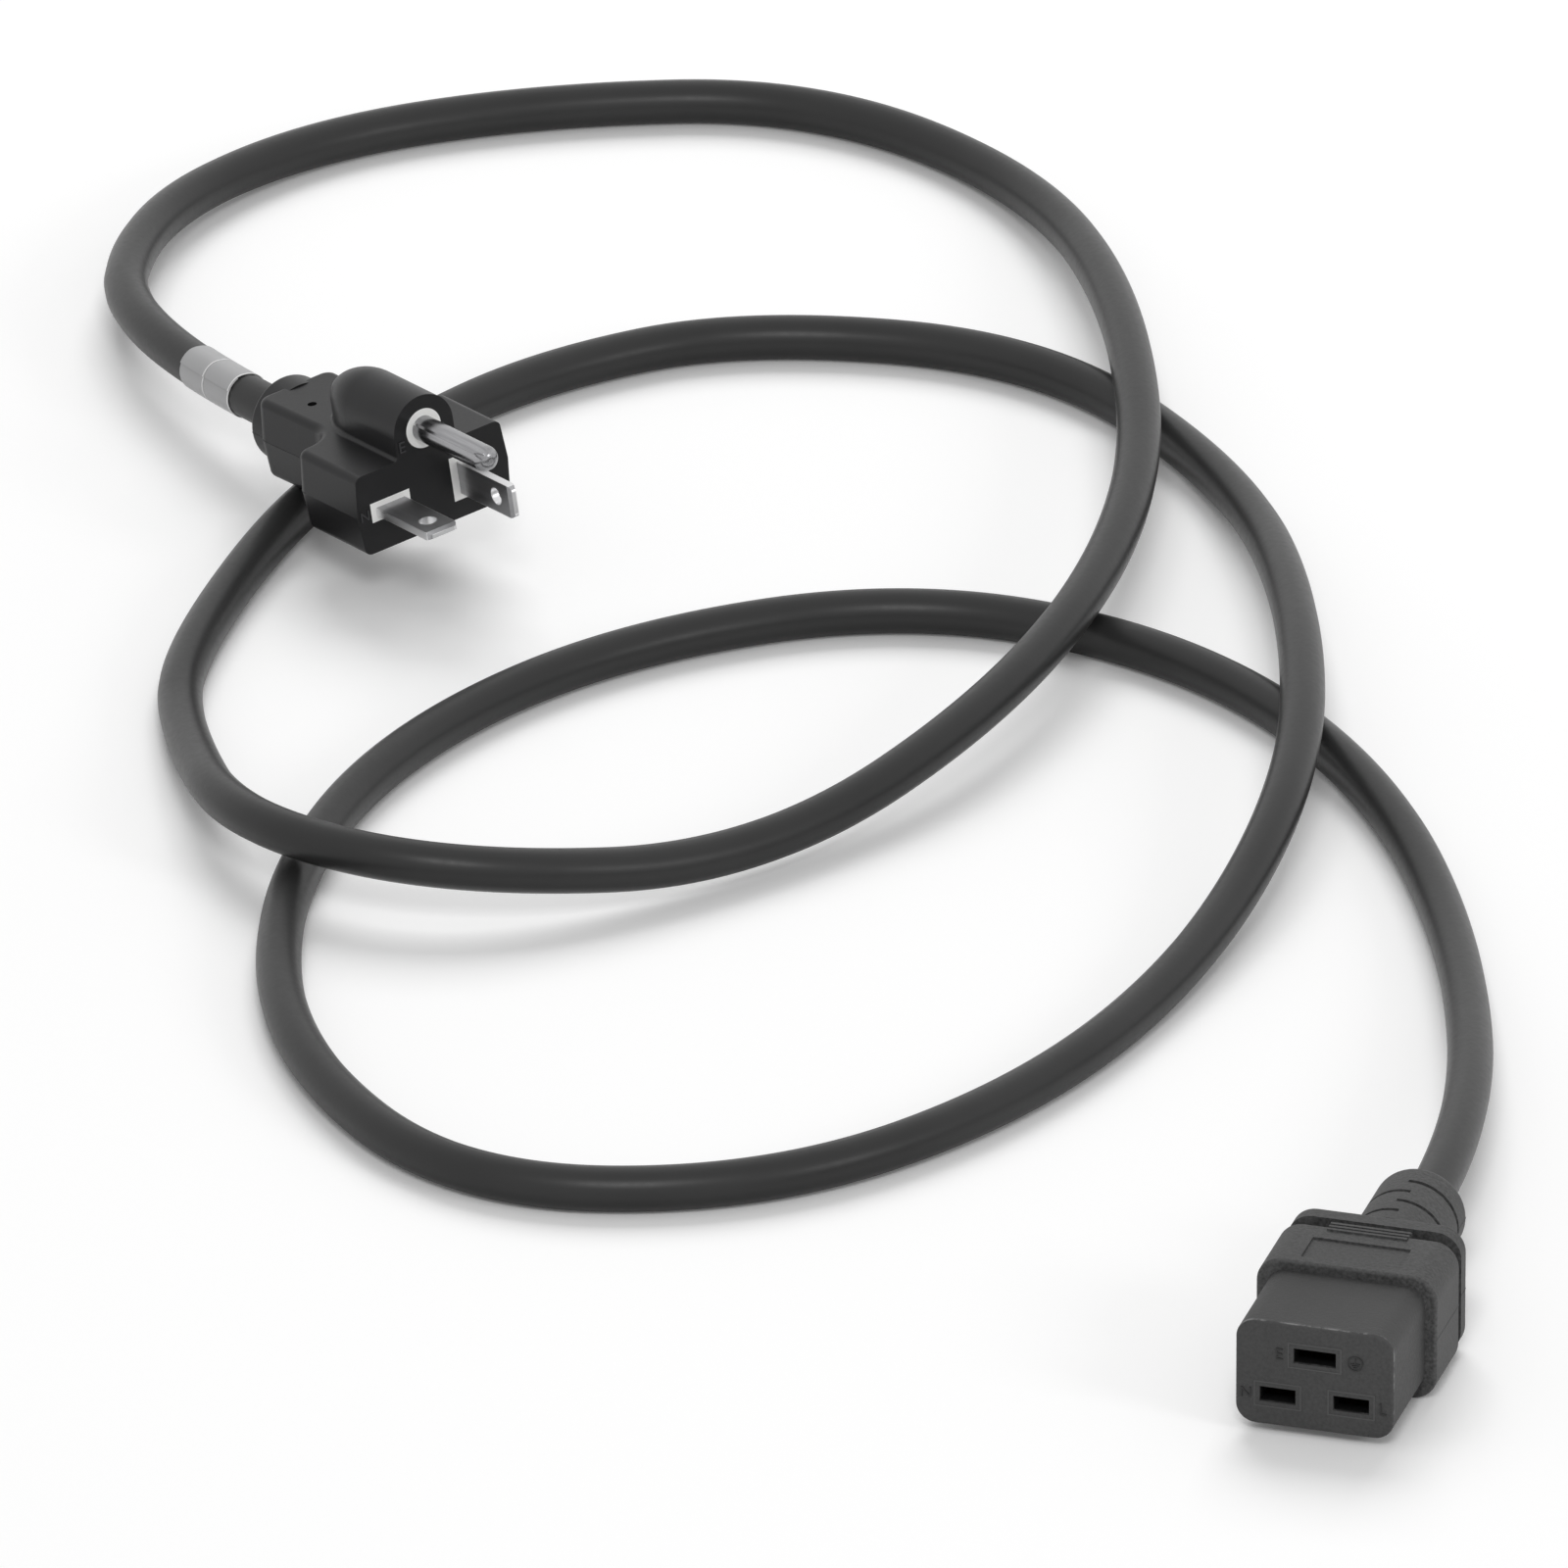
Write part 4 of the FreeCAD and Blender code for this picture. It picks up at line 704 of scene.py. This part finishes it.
def add_ring(work, x, y, radius, wall, rise):
    """A flat raised ring."""
    rows = []
    for out, level in ((radius, -rise), (radius, rise), (radius - wall, rise),
                       (radius - wall, -rise)):
        rows.append([work.verts.new((x + out * math.cos(math.tau * at / RING_STEPS),
                                     y + out * math.sin(math.tau * at / RING_STEPS), level))
                     for at in range(RING_STEPS)])
    for row, after in zip(rows, rows[1:] + rows[:1]):
        for at in range(RING_STEPS):
            near = (at + 1) % RING_STEPS
            work.faces.new((row[at], row[near], after[near], after[at]))


def add_frame(work, x, y, width, height, line, rise):
    """A raised rectangular outline of one line's width."""
    right = width / 2
    top = height / 2
    add_bar(work, x - right, y + top - line, x + right, y + top, rise)
    add_bar(work, x - right, y - top, x + right, y - top + line, rise)
    add_bar(work, x - right, y - top + line, x - right + line, y + top - line, rise)
    add_bar(work, x + right - line, y - top + line, x + right, y + top - line, rise)


def marks(name, face, letters, material, extra=None):
    """Letters, each with its place and height, and what extra(work) adds, on one face."""
    work = bmesh.new()
    for text, x, y, height in letters:
        mesh = letter_mesh(text, height)
        mesh.transform(Matrix.Translation((x, y, 0.0)))
        work.from_mesh(mesh)
    if extra:
        extra(work)
    bmesh.ops.recalc_face_normals(work, faces=work.faces)
    bmesh.ops.transform(work, matrix=face, verts=work.verts)
    mesh = bpy.data.meshes.new(name)
    work.to_mesh(mesh)
    work.free()
    mesh.materials.append(material)
    return finished(name, mesh)


def earth_symbol(work):
    """A ring with a stem and three bars that get shorter, beside the earth slot."""
    x = SYMBOL_ACROSS
    y = SLOT_RISE
    add_ring(work, x, y, SYMBOL_RADIUS, SYMBOL_LINE, MARK_RISE)
    add_bar(work, x - HALF_BAR, y + STEM_LOW, x + HALF_BAR, y + STEM_HIGH, MARK_RISE)
    for drop, half in BARS:
        add_bar(work, x - half, y - drop - HALF_BAR, x + half, y - drop + HALF_BAR, MARK_RISE)


def slot_frames(work):
    """The low lines round the connector's three slots."""
    for x, y, width in ((0.0, SLOT_RISE, EARTH_SLOT_WIDTH),
                        (-SLOT_SPREAD, -SLOT_RISE, POWER_SLOT_WIDTH),
                        (SLOT_SPREAD, -SLOT_RISE, POWER_SLOT_WIDTH)):
        add_frame(work, x, y, width + 2 * FRAME_MARGIN, SLOT_HEIGHT + 2 * FRAME_MARGIN,
                  FRAME_LINE, FRAME_RISE)


plug_marks = marks("plug_face_letters", IN_PLUG, PLUG_LETTERS, PLUG_MARKS)
connector_marks = marks("connector_face_marks", IN_CONNECTOR, CONNECTOR_LETTERS, INSERT_MARKS,
                        earth_symbol)
connector_lines = marks("connector_slot_frames", IN_CONNECTOR, (), INSERT_LINES, slot_frames)


# Floor, backdrop and lamps

def add_floor():
    """White matt paper under the object, which keeps the cord's soft shadow."""
    data = bpy.data.meshes.new("floor")
    data.from_pydata([(-FLOOR_HALF, -FLOOR_HALF, 0), (FLOOR_HALF, -FLOOR_HALF, 0),
                      (FLOOR_HALF, FLOOR_HALF, 0), (-FLOOR_HALF, FLOOR_HALF, 0)],
                     [], [(0, 1, 2, 3)])
    floor = bpy.data.objects.new("floor", data)
    material, tree, shader = new_material(
        "White studio paper", Base_Color=linear("#fdfdfd"), Roughness=0.9,
        Specular_IOR_Level=0.1, Emission_Color=linear("#ffffff"))
    path = add_node(tree, "ShaderNodeLightPath")
    lift = add_node(tree, "ShaderNodeMath", {0: path.outputs["Is Camera Ray"], 1: FLOOR_LIFT},
                    operation="MULTIPLY")
    tree.links.new(lift.outputs[0], shader.inputs["Emission Strength"])
    data.materials.append(material)
    bpy.context.scene.collection.objects.link(floor)
    return floor


def add_world():
    """Soft light from all round, and white where the camera, metal or glass sees it."""
    world = bpy.data.worlds.new("studio")
    world.use_nodes = True
    tree = world.node_tree
    tree.nodes.clear()
    path = add_node(tree, "ShaderNodeLightPath")
    clear = add_node(tree, "ShaderNodeMath", {
        0: path.outputs["Is Camera Ray"], 1: path.outputs["Is Transmission Ray"]},
        operation="MAXIMUM")
    seen = add_node(tree, "ShaderNodeMath", {
        0: clear.outputs[0], 1: path.outputs["Is Glossy Ray"]}, operation="MAXIMUM")
    light = add_node(tree, "ShaderNodeBackground", {
        "Color": linear("#ffffff"), "Strength": WORLD_LIGHT})
    white = add_node(tree, "ShaderNodeBackground", {
        "Color": linear("#ffffff"), "Strength": 1.0})
    mix = add_node(tree, "ShaderNodeMixShader", {
        0: seen.outputs[0], 1: light.outputs[0], 2: white.outputs[0]})
    add_node(tree, "ShaderNodeOutputWorld", {"Surface": mix.outputs[0]})
    bpy.context.scene.world = world


add_camera()
add_world()
# High behind the object: the soft shadows fall towards the camera, and no glare off the tops
add_lamp("key", Vector((-0.6, 2.0, 2.2)), size=1.9, watts=46.0, mirrored=False)
# Above the camera: the long soft highlight on the cord
add_lamp("front", Vector((0.35, -1.6, 1.8)), size=0.7, watts=16.0)
# On the right: the sides that face that way
add_lamp("right", Vector((1.9, -0.5, 1.0)), size=0.6, watts=6.0)
floor = add_floor()
bpy.context.scene.view_settings.view_transform = "Standard"

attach(cord, "root")
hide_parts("cord")
on_cord = [NODES[name] for name in sorted(NODES) if name.startswith("plug_")]
for name, band, edge in labels:
    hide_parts(name)
    for piece in (band, edge):
        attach(piece, "root")
        on_cord.append(piece)
for piece, slot in ((plug_parting, "plug_pvc"), (plug_marks, "plug_pvc"),
                    (connector_parting, "connector_pvc"), (connector_marks, "connector_insert"),
                    (connector_lines, "connector_insert")):
    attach(piece, "root")
on_cord += [plug_parting, plug_marks]
